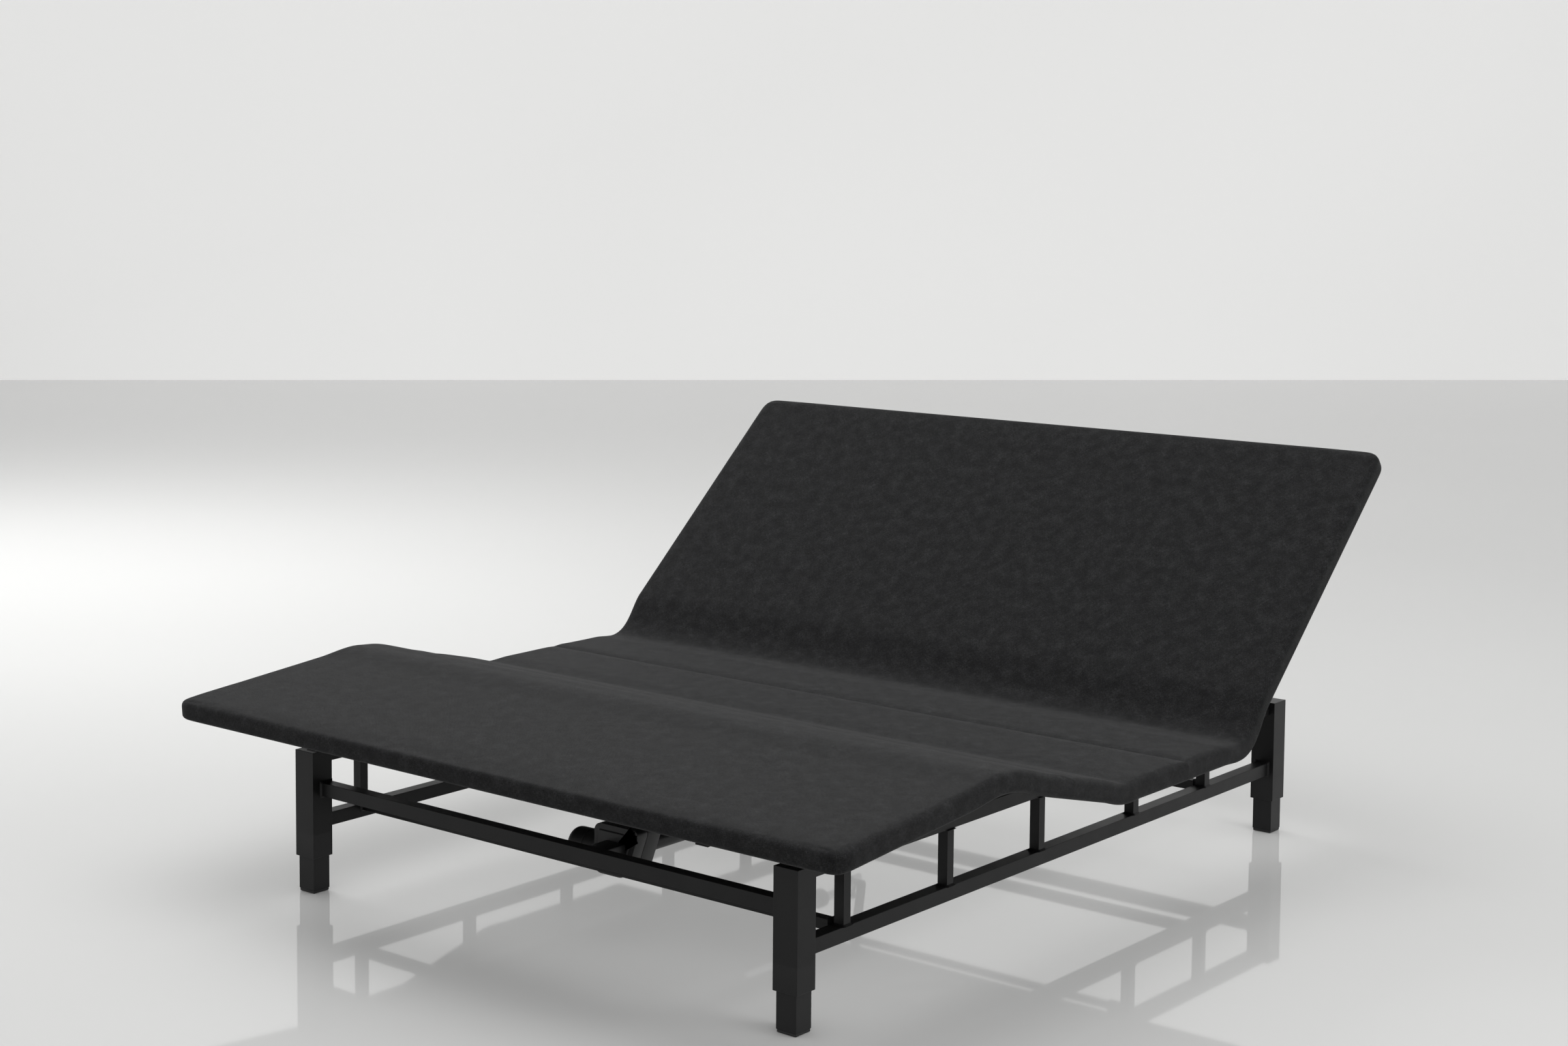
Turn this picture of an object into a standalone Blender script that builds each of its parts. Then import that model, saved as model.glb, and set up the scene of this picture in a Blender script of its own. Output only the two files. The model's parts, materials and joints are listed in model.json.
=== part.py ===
"""Adjustable bed base: welded tube frame, three moving deck sections and two actuators.

Sizes are metres and angles are degrees. +X is the sleeper's left to right, +Y points to the
head end and +Z is up. Every sub-part is placed from the middle of the four legs, and one
parent empty moves the whole bed so that the origin is under the middle of its outline.
"""

import math

import bmesh
import bpy
from mathutils import Matrix

# Gaps and clearances
TOUCH = 0.0003          # left between two pieces that bear on each other
HINGE_CLEARANCE = 0.0004
PIN_CLEARANCE = 0.0003
LEG_CLEARANCE = 0.0012  # inner leg to sleeve, each side
MITRE_CLEARANCE = 0.003  # deck sections beside a hinge that folds upwards

# Legs
LEG_SPACING_X = 1.1116
LEG_SPACING_Y = 1.5877
INNER_LEG = 0.0393
INNER_LEG_WALL = 0.002
SLEEVE_WALL = 0.003
SLEEVE_BOTTOM = 0.0675
SLEEVE_CAP = 0.003
GLIDE_INSET = 0.0008     # glide's side from the inner leg's
GLIDE_HEIGHT = 0.005
GLIDE_BEVEL = 0.0012
LEG_TRAVEL = 0.10

# Tube frame
FRAME_TOP = 0.2677
RAIL = 0.0254
RAIL_WALL = 0.002
LOWER_RAIL_BOTTOM = 0.119
POST = 0.019
POST_WALL = 0.0015
POST_STATIONS = (-0.671, -0.376, -0.087, 0.243, 0.516)
CROSSBAR_BOTTOM = 0.1833
CROSSBAR_INSET = 0.0086  # legs' centre line to the crossbar's centre line
TIE_BAR = 0.019
TIE_BAR_BOTTOM = 0.1335
TIE_BAR_OFFSET = 0.0045  # end post's centre line to the tie bar's, towards the end

# Deck
DECK_WIDTH = 1.520
BOARD = 0.015
PAD = 0.0227
BOARD_INSET = 0.006
CORNER_RADIUS = 0.032
AXIS_DEPTH = 0.0135     # hinge axes below the boards' undersides
KNEE_GAP = 0.003
HEAD_AXIS_Y = 0.302
SEAT_LENGTH = 0.4336    # thigh axis to head axis
THIGH_LENGTH = 0.365
FOOT_LENGTH = 0.471
HEAD_LENGTH = 0.757

# Angles
HEAD_REST = 40.8
HEAD_MOST = 60.0
THIGH_REST = 13.9
THIGH_MOST = 34.0
FOOT_REST = 4.4         # foot section's slope down towards the foot

# Hinges and deck rails
HINGE_TUBE_RADIUS = 0.008
HINGE_TUBE_WALL = 0.0015
EYE_RADIUS = 0.012
EYE_REACH = 0.035
HEAD_RAIL_X = 0.500
FOOT_RAIL_X = 0.450
RAIL_END_INSET = 0.060
RAIL_HOLE_RADIUS = 0.004

# Levers, rods and links
LEVER_THICKNESS = 0.008
LEVER_EYE_RADIUS = 0.013
LEVER_BOSS_RADIUS = 0.010
LEVER_ARM_LENGTH = 0.160
LEVER_ARM_DEPTH = 0.010
HEAD_LEVER = 0.112
THIGH_LEVER = 0.100
PIN_RADIUS = 0.005
YOKE_THICKNESS = 0.008
YOKE_WIDTH = 0.030
YOKE_RIM = 0.009
PIN_OVERHANG = 0.002
LEVER_GAP = 0.0015      # rod's side to the lever's plate
HEAD_YOKE_PLAY = 0.0020
LEG_YOKE_PLAY = 0.0008
ROD_RADIUS = 0.009
ROD_CLEARANCE = 0.0006
HEAD_ACTUATOR_X = -0.120
LEG_ACTUATOR_X = 0.055
LINK_X = 0.428
LINK_THICKNESS = 0.006
LINK_EYE_RADIUS = 0.009
LINK_PLAY = 0.0010
LINK_LUG_Y = 0.0197     # lug pin from the knee axis, foot section flat
LINK_LUG_DROP = 0.040
LINK_ANCHOR_Y = -0.087
LINK_ANCHOR_Z = 0.20015
HANGER_THICKNESS = 0.006
HANGER_GAP = 0.003

# Actuator housings
GEARCASE_WIDTH = 0.104
GEARCASE_SLANT = 0.032   # how far the side away from the motor leans in at the bottom
GEARCASE_LENGTH = 0.066
GEARCASE_HEIGHT = 0.090
GEARCASE_ROUNDING = 0.014
MOTOR_RADIUS = 0.031
MOTOR_LENGTH = 0.078
MOTOR_ROUNDING = 0.010
MOTOR_DROP = 0.012      # motor's axis below the spindle's
SPINDLE_TUBE_RADIUS = 0.017
LEG_GEARCASE_Y = -0.602
LEG_SPINDLE_END_Y = -0.285
LEG_BORE_END_Y = -0.500
LEG_ROD_END_Y = -0.450
HEAD_GEARCASE_Y = -0.078
HEAD_SPINDLE_END_Y = 0.212
HEAD_BORE_END_Y = 0.045
HEAD_ROD_END_Y = 0.145

# Control box
CONTROL_BOX = (0.120, 0.160, 0.040)
CONTROL_BOX_X = 0.200
CONTROL_BOX_Y = 0.080
INLET = (0.010, 0.028, 0.020)

ROUND_STEPS = 24
SMALL_STEPS = 16

# Values that follow from the sizes above
SLEEVE = INNER_LEG + 2 * (LEG_CLEARANCE + SLEEVE_WALL)
BOARD_BOTTOM = FRAME_TOP + TOUCH
AXIS_Z = BOARD_BOTTOM - AXIS_DEPTH
THIGH_AXIS_Y = HEAD_AXIS_Y - SEAT_LENGTH
BOARD_LOW = AXIS_DEPTH
BOARD_HIGH = BOARD_LOW + BOARD
PAD_LOW = BOARD_HIGH + TOUCH
PAD_HIGH = PAD_LOW + PAD
SIDE_X = LEG_SPACING_X / 2
END_Y = LEG_SPACING_Y / 2
INNER_FACE_X = SIDE_X - RAIL / 2 - TOUCH
DECK_RAIL_Z = BOARD_LOW - TOUCH - RAIL / 2


def turned(y, z, degrees):
    """The point (y, z) turned about +X."""
    angle = math.radians(degrees)
    return (
        y * math.cos(angle) - z * math.sin(angle),
        y * math.sin(angle) + z * math.cos(angle),
    )


def centre_shift():
    """How far the bed moves along Y so that its outline is centred on the origin."""
    knee_y, _ = turned(-THIGH_LENGTH, 0, -THIGH_REST)
    foot_low = turned(-FOOT_LENGTH, PAD_HIGH, FOOT_REST)[0]
    foot_high = turned(-FOOT_LENGTH, PAD_LOW, FOOT_REST)[0]
    head_low = turned(HEAD_LENGTH - BOARD_INSET, BOARD_LOW, HEAD_REST)[0]
    head_high = turned(HEAD_LENGTH, PAD_LOW, HEAD_REST)[0]
    foot_end = THIGH_AXIS_Y + knee_y + min(foot_low, foot_high)
    head_end = HEAD_AXIS_Y + max(head_low, head_high)
    return -(foot_end + head_end) / 2


def make_material(name, colour, roughness, metallic):
    material = bpy.data.materials.new(name)
    material.use_nodes = True
    shader = material.node_tree.nodes["Principled BSDF"]
    shader.inputs["Base Color"].default_value = (*colour, 1.0)
    shader.inputs["Roughness"].default_value = roughness
    shader.inputs["Metallic"].default_value = metallic
    material.diffuse_color = (*colour, 1.0)
    return material


def add_empty(name, parent, location, tilt=0.0):
    """A parent on a joint's axis, tilted about X."""
    empty = bpy.data.objects.new(name, None)
    empty.empty_display_size = 0.05
    empty.location = location
    empty.rotation_euler = (math.radians(tilt), 0, 0)
    empty.parent = parent
    bpy.context.scene.collection.objects.link(empty)
    return empty


def add_object(name, shape, material, parent, location=(0, 0, 0), smooth=False):
    """A named object from a bmesh, which it frees."""
    bmesh.ops.recalc_face_normals(shape, faces=shape.faces[:])
    mesh = bpy.data.meshes.new(name)
    shape.to_mesh(mesh)
    shape.free()
    if smooth:
        mesh.shade_smooth()
        mesh.set_sharp_from_angle(angle=math.radians(35))
    if material:
        mesh.materials.append(material)
    made = bpy.data.objects.new(name, mesh)
    made.location = location
    made.parent = parent
    bpy.context.scene.collection.objects.link(made)
    return made


def combine(target, shape, operation):
    """Adds a Boolean on the target, with the shape as a hidden operand beside it."""
    count = len(target.modifiers) + 1
    operand = add_object(f"{target.name}_tool_{count}", shape, None, target.parent)
    operand.location = target.location
    operand.hide_render = True
    operand.display_type = "WIRE"
    modifier = target.modifiers.new(f"{operation.lower()}_{count}", "BOOLEAN")
    modifier.operation = operation
    modifier.solver = "EXACT"
    modifier.object = operand


def prism(outline, x0, x1):
    """An outline of (y, z) points drawn out from x0 to x1."""
    shape = bmesh.new()
    near = [shape.verts.new((x0, y, z)) for y, z in outline]
    far = [shape.verts.new((x1, y, z)) for y, z in outline]
    shape.faces.new(near)
    shape.faces.new(far)
    for i in range(len(outline)):
        j = (i + 1) % len(outline)
        shape.faces.new((near[i], near[j], far[j], far[i]))
    return shape


def block(centre, size):
    shape = bmesh.new()
    matrix = Matrix.Translation(centre) @ Matrix.Diagonal((*size, 1))
    bmesh.ops.create_cube(shape, size=1, matrix=matrix)
    return shape


def rod_along(axis, centre, radius, length, steps=ROUND_STEPS):
    """A solid cylinder along X or Y."""
    shape = bmesh.new()
    turn = Matrix.Rotation(math.pi / 2, 4, "Y" if axis == "X" else "X")
    bmesh.ops.create_cone(
        shape,
        cap_ends=True,
        segments=steps,
        radius1=radius,
        radius2=radius,
        depth=length,
        matrix=Matrix.Translation(centre) @ turn,
    )
    return shape


def circle(radius, steps=ROUND_STEPS):
    turn = 2 * math.pi / steps
    return [(radius * math.cos(turn * i), radius * math.sin(turn * i)) for i in range(steps)]


def square(side):
    half = side / 2
    return [(-half, -half), (half, -half), (half, half), (-half, half)]


def hollow(outer, inner, length, axis):
    """A tube between two outlines, centred, open at both ends."""
    shape = bmesh.new()

    def ring(outline, distance):
        places = {
            "X": lambda a, b: (distance, a, b),
            "Y": lambda a, b: (a, distance, b),
            "Z": lambda a, b: (a, b, distance),
        }
        return [shape.verts.new(places[axis](a, b)) for a, b in outline]

    rings = [ring(outline, s * length / 2) for s in (-1, 1) for outline in (outer, inner)]
    outer_low, inner_low, outer_high, inner_high = rings
    pairs = (
        (outer_low, outer_high),
        (inner_low, inner_high),
        (outer_low, inner_low),
        (outer_high, inner_high),
    )
    for first, second in pairs:
        for i in range(len(first)):
            j = (i + 1) % len(first)
            shape.faces.new((first[i], first[j], second[j], second[i]))
    return shape


def square_tube(side, wall, length, axis):
    return hollow(square(side), square(side - 2 * wall), length, axis)


def link_outline(a, radius_a, b, radius_b, steps=SMALL_STEPS):
    """The outline around two circles in the YZ plane and the tangents between them."""
    span_y = b[0] - a[0]
    span_z = b[1] - a[1]
    heading = math.atan2(span_z, span_y)
    spread = math.acos((radius_a - radius_b) / math.hypot(span_y, span_z))
    outline = []
    for i in range(steps + 1):
        turn = heading + spread + (2 * math.pi - 2 * spread) * i / steps
        outline.append((a[0] + radius_a * math.cos(turn), a[1] + radius_a * math.sin(turn)))
    for i in range(steps + 1):
        turn = heading - spread + 2 * spread * i / steps
        outline.append((b[0] + radius_b * math.cos(turn), b[1] + radius_b * math.sin(turn)))
    return outline


def round_corners(shape, y_end):
    """Rounds the two upright edges of a deck section at its free end, in plan."""
    edges = [
        edge
        for edge in shape.edges
        if all(abs(v.co.y - y_end) < 1e-6 for v in edge.verts)
        and abs(edge.verts[0].co.x - edge.verts[1].co.x) < 1e-6
    ]
    bmesh.ops.bevel(
        shape, geom=edges, offset=CORNER_RADIUS, segments=4, profile=0.5, affect="EDGES"
    )


def make_leg(root, finish, side, end, side_name, end_name):
    """Sleeve, inner leg and glide of one leg."""
    place = (side * SIDE_X, end * END_Y, 0)
    half = SLEEVE / 2
    inner = half - SLEEVE_WALL
    height = FRAME_TOP - SLEEVE_BOTTOM
    sleeve = add_object(
        f"leg_sleeve_{end_name}_{side_name}",
        block((0, 0, SLEEVE_BOTTOM + height / 2), (SLEEVE, SLEEVE, height)),
        finish["frame"],
        root,
        place,
    )
    bore_top = FRAME_TOP - SLEEVE_CAP
    overrun = 0.01
    bore_height = bore_top - SLEEVE_BOTTOM + overrun
    bore = block((0, 0, bore_top - bore_height / 2), (2 * inner, 2 * inner, bore_height))
    combine(sleeve, bore, "DIFFERENCE")

    bottom = GLIDE_HEIGHT + TOUCH
    top = bore_top - TOUCH
    tube = square_tube(INNER_LEG, INNER_LEG_WALL, top - bottom, "Z")
    bmesh.ops.translate(tube, verts=tube.verts[:], vec=(0, 0, (top + bottom) / 2))
    add_object(f"inner_leg_{end_name}_{side_name}", tube, finish["leg"], root, place)
    glide_side = INNER_LEG - 2 * GLIDE_INSET
    glide = block((0, 0, GLIDE_HEIGHT / 2), (glide_side, glide_side, GLIDE_HEIGHT))
    foot_edges = [e for e in glide.edges if all(v.co.z < 1e-6 for v in e.verts)]
    bmesh.ops.bevel(glide, geom=foot_edges, offset=GLIDE_BEVEL, segments=1, affect="EDGES")
    add_object(f"glide_{end_name}_{side_name}", glide, finish["plastic"], root, place)


def make_side(root, finish, side, side_name):
    """Upper and lower rails and the posts between them."""
    length = LEG_SPACING_Y - SLEEVE - 2 * TOUCH
    lower_top = LOWER_RAIL_BOTTOM + RAIL
    for name, middle in (
        ("upper", FRAME_TOP - RAIL / 2),
        ("lower", LOWER_RAIL_BOTTOM + RAIL / 2),
    ):
        add_object(
            f"{name}_side_rail_{side_name}",
            square_tube(RAIL, RAIL_WALL, length, "Y"),
            finish["frame"],
            root,
            (side * SIDE_X, 0, middle),
        )
    bottom = lower_top + TOUCH
    top = FRAME_TOP - RAIL - TOUCH
    x = side * (SIDE_X + (RAIL - POST) / 2)
    for number, station in enumerate(POST_STATIONS, 1):
        add_object(
            f"side_post_{side_name}_{number}",
            square_tube(POST, POST_WALL, top - bottom, "Z"),
            finish["frame"],
            root,
            (x, station, (top + bottom) / 2),
        )


def make_cross_members(root, finish):
    """End crossbars between the legs, tie bars between the rails, and both hinge tubes."""
    crossbar_length = LEG_SPACING_X - SLEEVE - 2 * TOUCH
    for name, y in (
        ("foot", -END_Y + CROSSBAR_INSET),
        ("head", END_Y - CROSSBAR_INSET),
    ):
        add_object(
            f"{name}_crossbar",
            square_tube(RAIL, RAIL_WALL, crossbar_length, "X"),
            finish["frame"],
            root,
            (0, y, CROSSBAR_BOTTOM + RAIL / 2),
        )
    for name, y in (
        ("foot", POST_STATIONS[0] - TIE_BAR_OFFSET),
        ("head", POST_STATIONS[-1] + TIE_BAR_OFFSET),
    ):
        add_object(
            f"{name}_tie_bar",
            square_tube(TIE_BAR, POST_WALL, 2 * INNER_FACE_X, "X"),
            finish["frame"],
            root,
            (0, y, TIE_BAR_BOTTOM + TIE_BAR / 2),
        )
    for name, y in (("thigh", THIGH_AXIS_Y), ("head", HEAD_AXIS_Y)):
        add_object(
            f"{name}_hinge_tube",
            hinge_tube(2 * INNER_FACE_X),
            finish["frame"],
            root,
            (0, y, AXIS_Z),
            smooth=True,
        )


def hinge_tube(length):
    return hollow(
        circle(HINGE_TUBE_RADIUS),
        circle(HINGE_TUBE_RADIUS - HINGE_TUBE_WALL),
        length,
        "X",
    )


def mitred(z, fold):
    """How far a section stands off a hinge that folds up by so many degrees, at height z."""
    return z * math.tan(math.radians(fold / 2)) + MITRE_CLEARANCE


def panel(low, high, near, far, width, free_end=None):
    """A deck slab between two end lines, each given as the y at its low and high face."""
    outline = [(near[0], low), (far[0], low), (far[1], high), (near[1], high)]
    shape = prism(outline, -width / 2, width / 2)
    if free_end is not None:
        round_corners(shape, free_end)
    return shape


def make_section(name, parent, finish, near, far, free_end):
    """Board and pad of one section; near and far give the y of its ends at a height."""
    layers = (
        ("board", "board", BOARD_LOW, BOARD_HIGH, BOARD_INSET),
        ("pad", "fabric", PAD_LOW, PAD_HIGH, 0.0),
    )
    for part, material, low, high, inset in layers:
        end = None
        if free_end:
            end = free_end - math.copysign(inset, free_end)
        last = (end, end) if end is not None else (far(low), far(high))
        add_object(
            f"{name}_{part}",
            panel(low, high, (near(low), near(high)), last, DECK_WIDTH - 2 * inset, end),
            finish[material],
            parent,
            smooth=True,
        )


def deck_rail(name, parent, finish, x, y_start, y_end, eyes, lug_side=0):
    """A square tube under a section with an eye block around each hinge tube it meets.

    A rail that eye blocks close at both ends has a cross hole, so its hollow is open.
    """
    direction = math.copysign(1, y_end - y_start)
    begin = y_start + direction * 0.014
    finish_y = y_end - direction * (0.014 if len(eyes) > 1 else RAIL_END_INSET)
    middle = (begin + finish_y) / 2
    tube = square_tube(RAIL, RAIL_WALL, abs(finish_y - begin), "Y")
    bmesh.ops.translate(tube, verts=tube.verts[:], vec=(0, middle, DECK_RAIL_Z))
    rail = add_object(name, tube, finish, parent, (x, 0, 0))
    half = (RAIL - RAIL_WALL) / 2
    for eye_y, way in eyes:
        outline = [
            (
                eye_y - way * EYE_RADIUS * math.sin(math.pi * i / SMALL_STEPS),
                EYE_RADIUS * math.cos(math.pi * i / SMALL_STEPS),
            )
            for i in range(SMALL_STEPS + 1)
        ]
        outline.append((eye_y + way * EYE_REACH, -EYE_RADIUS))
        outline.append((eye_y + way * EYE_REACH, EYE_RADIUS))
        combine(rail, prism(outline, -half, half), "UNION")
    if lug_side:
        add_link_lug(rail, lug_side)
    for eye_y, _ in eyes:
        bore = rod_along(
            "X", (0, eye_y, 0), HINGE_TUBE_RADIUS + HINGE_CLEARANCE, 2 * RAIL
        )
        combine(rail, bore, "DIFFERENCE")
    if len(eyes) > 1:
        hole = rod_along("X", (0, middle, DECK_RAIL_Z), RAIL_HOLE_RADIUS, 2 * RAIL, SMALL_STEPS)
        combine(rail, hole, "DIFFERENCE")


def make_lever(name, parent, finish, x, pin, way):
    """A plate around a hinge tube: an arm under the board and a pin for the actuator."""
    plate_low = x + ROD_RADIUS + LEVER_GAP
    plate_high = plate_low + LEVER_THICKNESS
    outline = link_outline((0, 0), LEVER_EYE_RADIUS, pin, LEVER_BOSS_RADIUS)
    lever = add_object(name, prism(outline, plate_low, plate_high), finish, parent)
    arm_top = BOARD_LOW - TOUCH
    arm = [
        (0, arm_top - LEVER_ARM_DEPTH),
        (way * LEVER_ARM_LENGTH, arm_top - LEVER_ARM_DEPTH),
        (way * LEVER_ARM_LENGTH, arm_top),
        (0, arm_top),
    ]
    combine(lever, prism(arm, plate_low, plate_high), "UNION")
    pin_end = x - YOKE_THICKNESS / 2 - PIN_OVERHANG
    pin_length = plate_low + LEVER_THICKNESS / 2 - pin_end
    pin_shape = rod_along(
        "X", (pin_end + pin_length / 2, *pin), PIN_RADIUS, pin_length, SMALL_STEPS
    )
    combine(lever, pin_shape, "UNION")
    bore = rod_along(
        "X",
        ((plate_low + plate_high) / 2, 0, 0),
        HINGE_TUBE_RADIUS + HINGE_CLEARANCE,
        4 * LEVER_THICKNESS,
    )
    combine(lever, bore, "DIFFERENCE")


def lever_pin(length, most, way):
    """A lever's pin with its section flat: straight down at the middle of the travel."""
    middle = math.radians(most / 2)
    return (-way * length * math.sin(middle), -length * math.cos(middle))


def rod_height(length, most):
    """The height of a rod, halfway between its pin's lowest and highest points."""
    return AXIS_Z - length * (1 + math.cos(math.radians(most / 2))) / 2


def make_rod(name, parent, finish, x, z, pin_y, end_y, play, lever, most):
    """An actuator's rod with an upright slot around the lever's pin."""
    slot_half = lever * (1 - math.cos(math.radians(most / 2))) / 2 + PIN_RADIUS + play
    yoke_height = 2 * (slot_half + YOKE_RIM)
    yoke = add_object(
        name,
        block((0, 0, 0), (YOKE_THICKNESS, YOKE_WIDTH, yoke_height)),
        finish,
        parent,
        (x, pin_y, z),
        smooth=True,
    )
    overlap = 0.003
    start = math.copysign(YOKE_WIDTH / 2 - overlap, end_y - pin_y)
    stop = end_y - pin_y
    shaft = rod_along(
        "Y", (0, (start + stop) / 2, 0), ROD_RADIUS, abs(stop - start), ROUND_STEPS
    )
    combine(yoke, shaft, "UNION")
    slot = block((0, 0, 0), (4 * YOKE_THICKNESS, 2 * (PIN_RADIUS + play), 2 * slot_half))
    combine(yoke, slot, "DIFFERENCE")


def make_housing(name, parent, finish, x, z, case_y, tube_end_y, bore_end_y):
    """Gearcase, motor across it and spindle tube of one actuator, as one casting."""
    case = block((0, 0, 0), (GEARCASE_WIDTH, GEARCASE_LENGTH, GEARCASE_HEIGHT))
    for vert in case.verts:
        if vert.co.x > 0 and vert.co.z < 0:
            vert.co.x -= GEARCASE_SLANT
    upright = [e for e in case.edges if abs(e.verts[0].co.y - e.verts[1].co.y) > 0.01]
    bmesh.ops.bevel(
        case, geom=upright, offset=GEARCASE_ROUNDING, segments=3, affect="EDGES", profile=0.5
    )
    housing = add_object(name, case, finish, parent, (x, case_y, z), smooth=True)
    overlap = 0.01
    motor_length = MOTOR_LENGTH + overlap
    motor_x = -GEARCASE_WIDTH / 2 + overlap - motor_length / 2
    motor = rod_along("X", (motor_x, 0, -MOTOR_DROP), MOTOR_RADIUS, motor_length)
    rim = [e for e in motor.edges if all(v.co.x < motor_x for v in e.verts)]
    bmesh.ops.bevel(
        motor, geom=rim, offset=MOTOR_ROUNDING, segments=2, affect="EDGES", profile=0.5
    )
    combine(housing, motor, "UNION")
    tube_start = GEARCASE_LENGTH / 2 - overlap
    tube_stop = tube_end_y - case_y
    tube = rod_along(
        "Y",
        (0, (tube_start + tube_stop) / 2, 0),
        SPINDLE_TUBE_RADIUS,
        tube_stop - tube_start,
    )
    combine(housing, tube, "UNION")
    bore_start = bore_end_y - case_y
    bore_stop = tube_stop + overlap
    bore = rod_along(
        "Y",
        (0, (bore_start + bore_stop) / 2, 0),
        ROD_RADIUS + ROD_CLEARANCE,
        bore_stop - bore_start,
    )
    combine(housing, bore, "DIFFERENCE")
    return housing


def make_leg_actuator(root, finish):
    """The actuator that pulls the thigh lever, standing on the foot tie bar."""
    z = rod_height(THIGH_LEVER, THIGH_MOST)
    housing = make_housing(
        "leg_actuator_housing",
        root,
        finish["actuator"],
        LEG_ACTUATOR_X,
        z,
        LEG_GEARCASE_Y,
        LEG_SPINDLE_END_Y,
        LEG_BORE_END_Y,
    )
    tie_y = POST_STATIONS[0] - TIE_BAR_OFFSET
    lug_low = TIE_BAR_BOTTOM + TIE_BAR + TOUCH
    lug_height = 0.022
    lug_start = tie_y - TIE_BAR
    lug_stop = LEG_GEARCASE_Y - GEARCASE_LENGTH / 4
    lug = block(
        (0, (lug_start + lug_stop) / 2 - LEG_GEARCASE_Y, lug_low + lug_height / 2 - z),
        (GEARCASE_WIDTH / 2, lug_stop - lug_start, lug_height),
    )
    combine(housing, lug, "UNION")
    pin_y = THIGH_AXIS_Y + turned_lever_y(THIGH_LEVER, THIGH_MOST, THIGH_REST, -1)
    make_rod(
        "leg_actuator_rod",
        root,
        finish["rod"],
        LEG_ACTUATOR_X,
        z,
        pin_y,
        LEG_ROD_END_Y,
        LEG_YOKE_PLAY,
        THIGH_LEVER,
        THIGH_MOST,
    )


def turned_lever_y(length, most, rest, way):
    """A lever pin's y from its hinge with its section at rest."""
    return way * length * math.sin(math.radians(rest - most / 2))


def make_head_actuator(root, finish):
    """The actuator that pushes the head lever, and the bracket that hangs it."""
    z = rod_height(HEAD_LEVER, HEAD_MOST)
    make_housing(
        "head_actuator_housing",
        root,
        finish["actuator"],
        HEAD_ACTUATOR_X,
        z,
        HEAD_GEARCASE_Y,
        HEAD_SPINDLE_END_Y,
        HEAD_BORE_END_Y,
    )
    pin_y = HEAD_AXIS_Y + turned_lever_y(HEAD_LEVER, HEAD_MOST, HEAD_REST, 1)
    make_rod(
        "head_actuator_rod",
        root,
        finish["rod"],
        HEAD_ACTUATOR_X,
        z,
        pin_y,
        HEAD_ROD_END_Y,
        HEAD_YOKE_PLAY,
        HEAD_LEVER,
        HEAD_MOST,
    )
    case_side = HEAD_ACTUATOR_X + GEARCASE_WIDTH / 2 + TOUCH
    foot = (HEAD_GEARCASE_Y, z)
    outline = link_outline((THIGH_AXIS_Y, AXIS_Z), LEVER_EYE_RADIUS, foot, 0.024)
    bracket = add_object(
        "head_actuator_bracket",
        prism(outline, case_side, case_side + LEVER_THICKNESS),
        finish["frame"],
        root,
    )
    bore = rod_along(
        "X",
        (case_side, THIGH_AXIS_Y, AXIS_Z),
        HINGE_TUBE_RADIUS + PIN_CLEARANCE,
        4 * LEVER_THICKNESS,
    )
    combine(bracket, bore, "DIFFERENCE")


def make_head(root, finish):
    """Head section on its hinge: board, pad, two rails and the lever."""
    hinge = add_empty("head_axis", root, (0, HEAD_AXIS_Y, AXIS_Z), HEAD_REST)
    make_section(
        "head", hinge, finish, lambda z: mitred(z, HEAD_MOST), None, HEAD_LENGTH
    )
    for side, side_name in ((-1, "left"), (1, "right")):
        deck_rail(
            f"head_rail_{side_name}",
            hinge,
            finish["frame"],
            side * HEAD_RAIL_X,
            0,
            HEAD_LENGTH,
            [(0, 1)],
        )
    pin = lever_pin(HEAD_LEVER, HEAD_MOST, 1)
    make_lever("head_lever", hinge, finish["frame"], HEAD_ACTUATOR_X, pin, 1)


def make_thigh_and_foot(root, finish):
    """Thigh section on its hinge and the foot section on the knee tube that it carries."""
    hinge = add_empty("thigh_axis", root, (0, THIGH_AXIS_Y, AXIS_Z), -THIGH_REST)
    knee = add_empty("knee_axis", hinge, (0, -THIGH_LENGTH, 0), THIGH_REST + FOOT_REST)
    make_section(
        "thigh",
        hinge,
        finish,
        lambda z: -mitred(z, THIGH_MOST),
        lambda z: -THIGH_LENGTH + KNEE_GAP / 2,
        None,
    )
    make_section("foot", knee, finish, lambda z: -KNEE_GAP / 2, None, -FOOT_LENGTH)
    for side, side_name in ((-1, "left"), (1, "right")):
        deck_rail(
            f"thigh_rail_{side_name}",
            hinge,
            finish["frame"],
            side * HEAD_RAIL_X,
            0,
            -THIGH_LENGTH,
            [(0, -1), (-THIGH_LENGTH, 1)],
        )
        deck_rail(
            f"foot_rail_{side_name}",
            knee,
            finish["frame"],
            side * FOOT_RAIL_X,
            0,
            -FOOT_LENGTH,
            [(0, -1)],
            lug_side=side,
        )
    knee_length = 2 * HEAD_RAIL_X + RAIL + 2 * KNEE_GAP
    add_object(
        "knee_tube",
        hinge_tube(knee_length),
        finish["frame"],
        hinge,
        (0, -THIGH_LENGTH, 0),
        smooth=True,
    )
    pin = lever_pin(THIGH_LEVER, THIGH_MOST, -1)
    make_lever("thigh_lever", hinge, finish["frame"], LEG_ACTUATOR_X, pin, -1)


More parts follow.
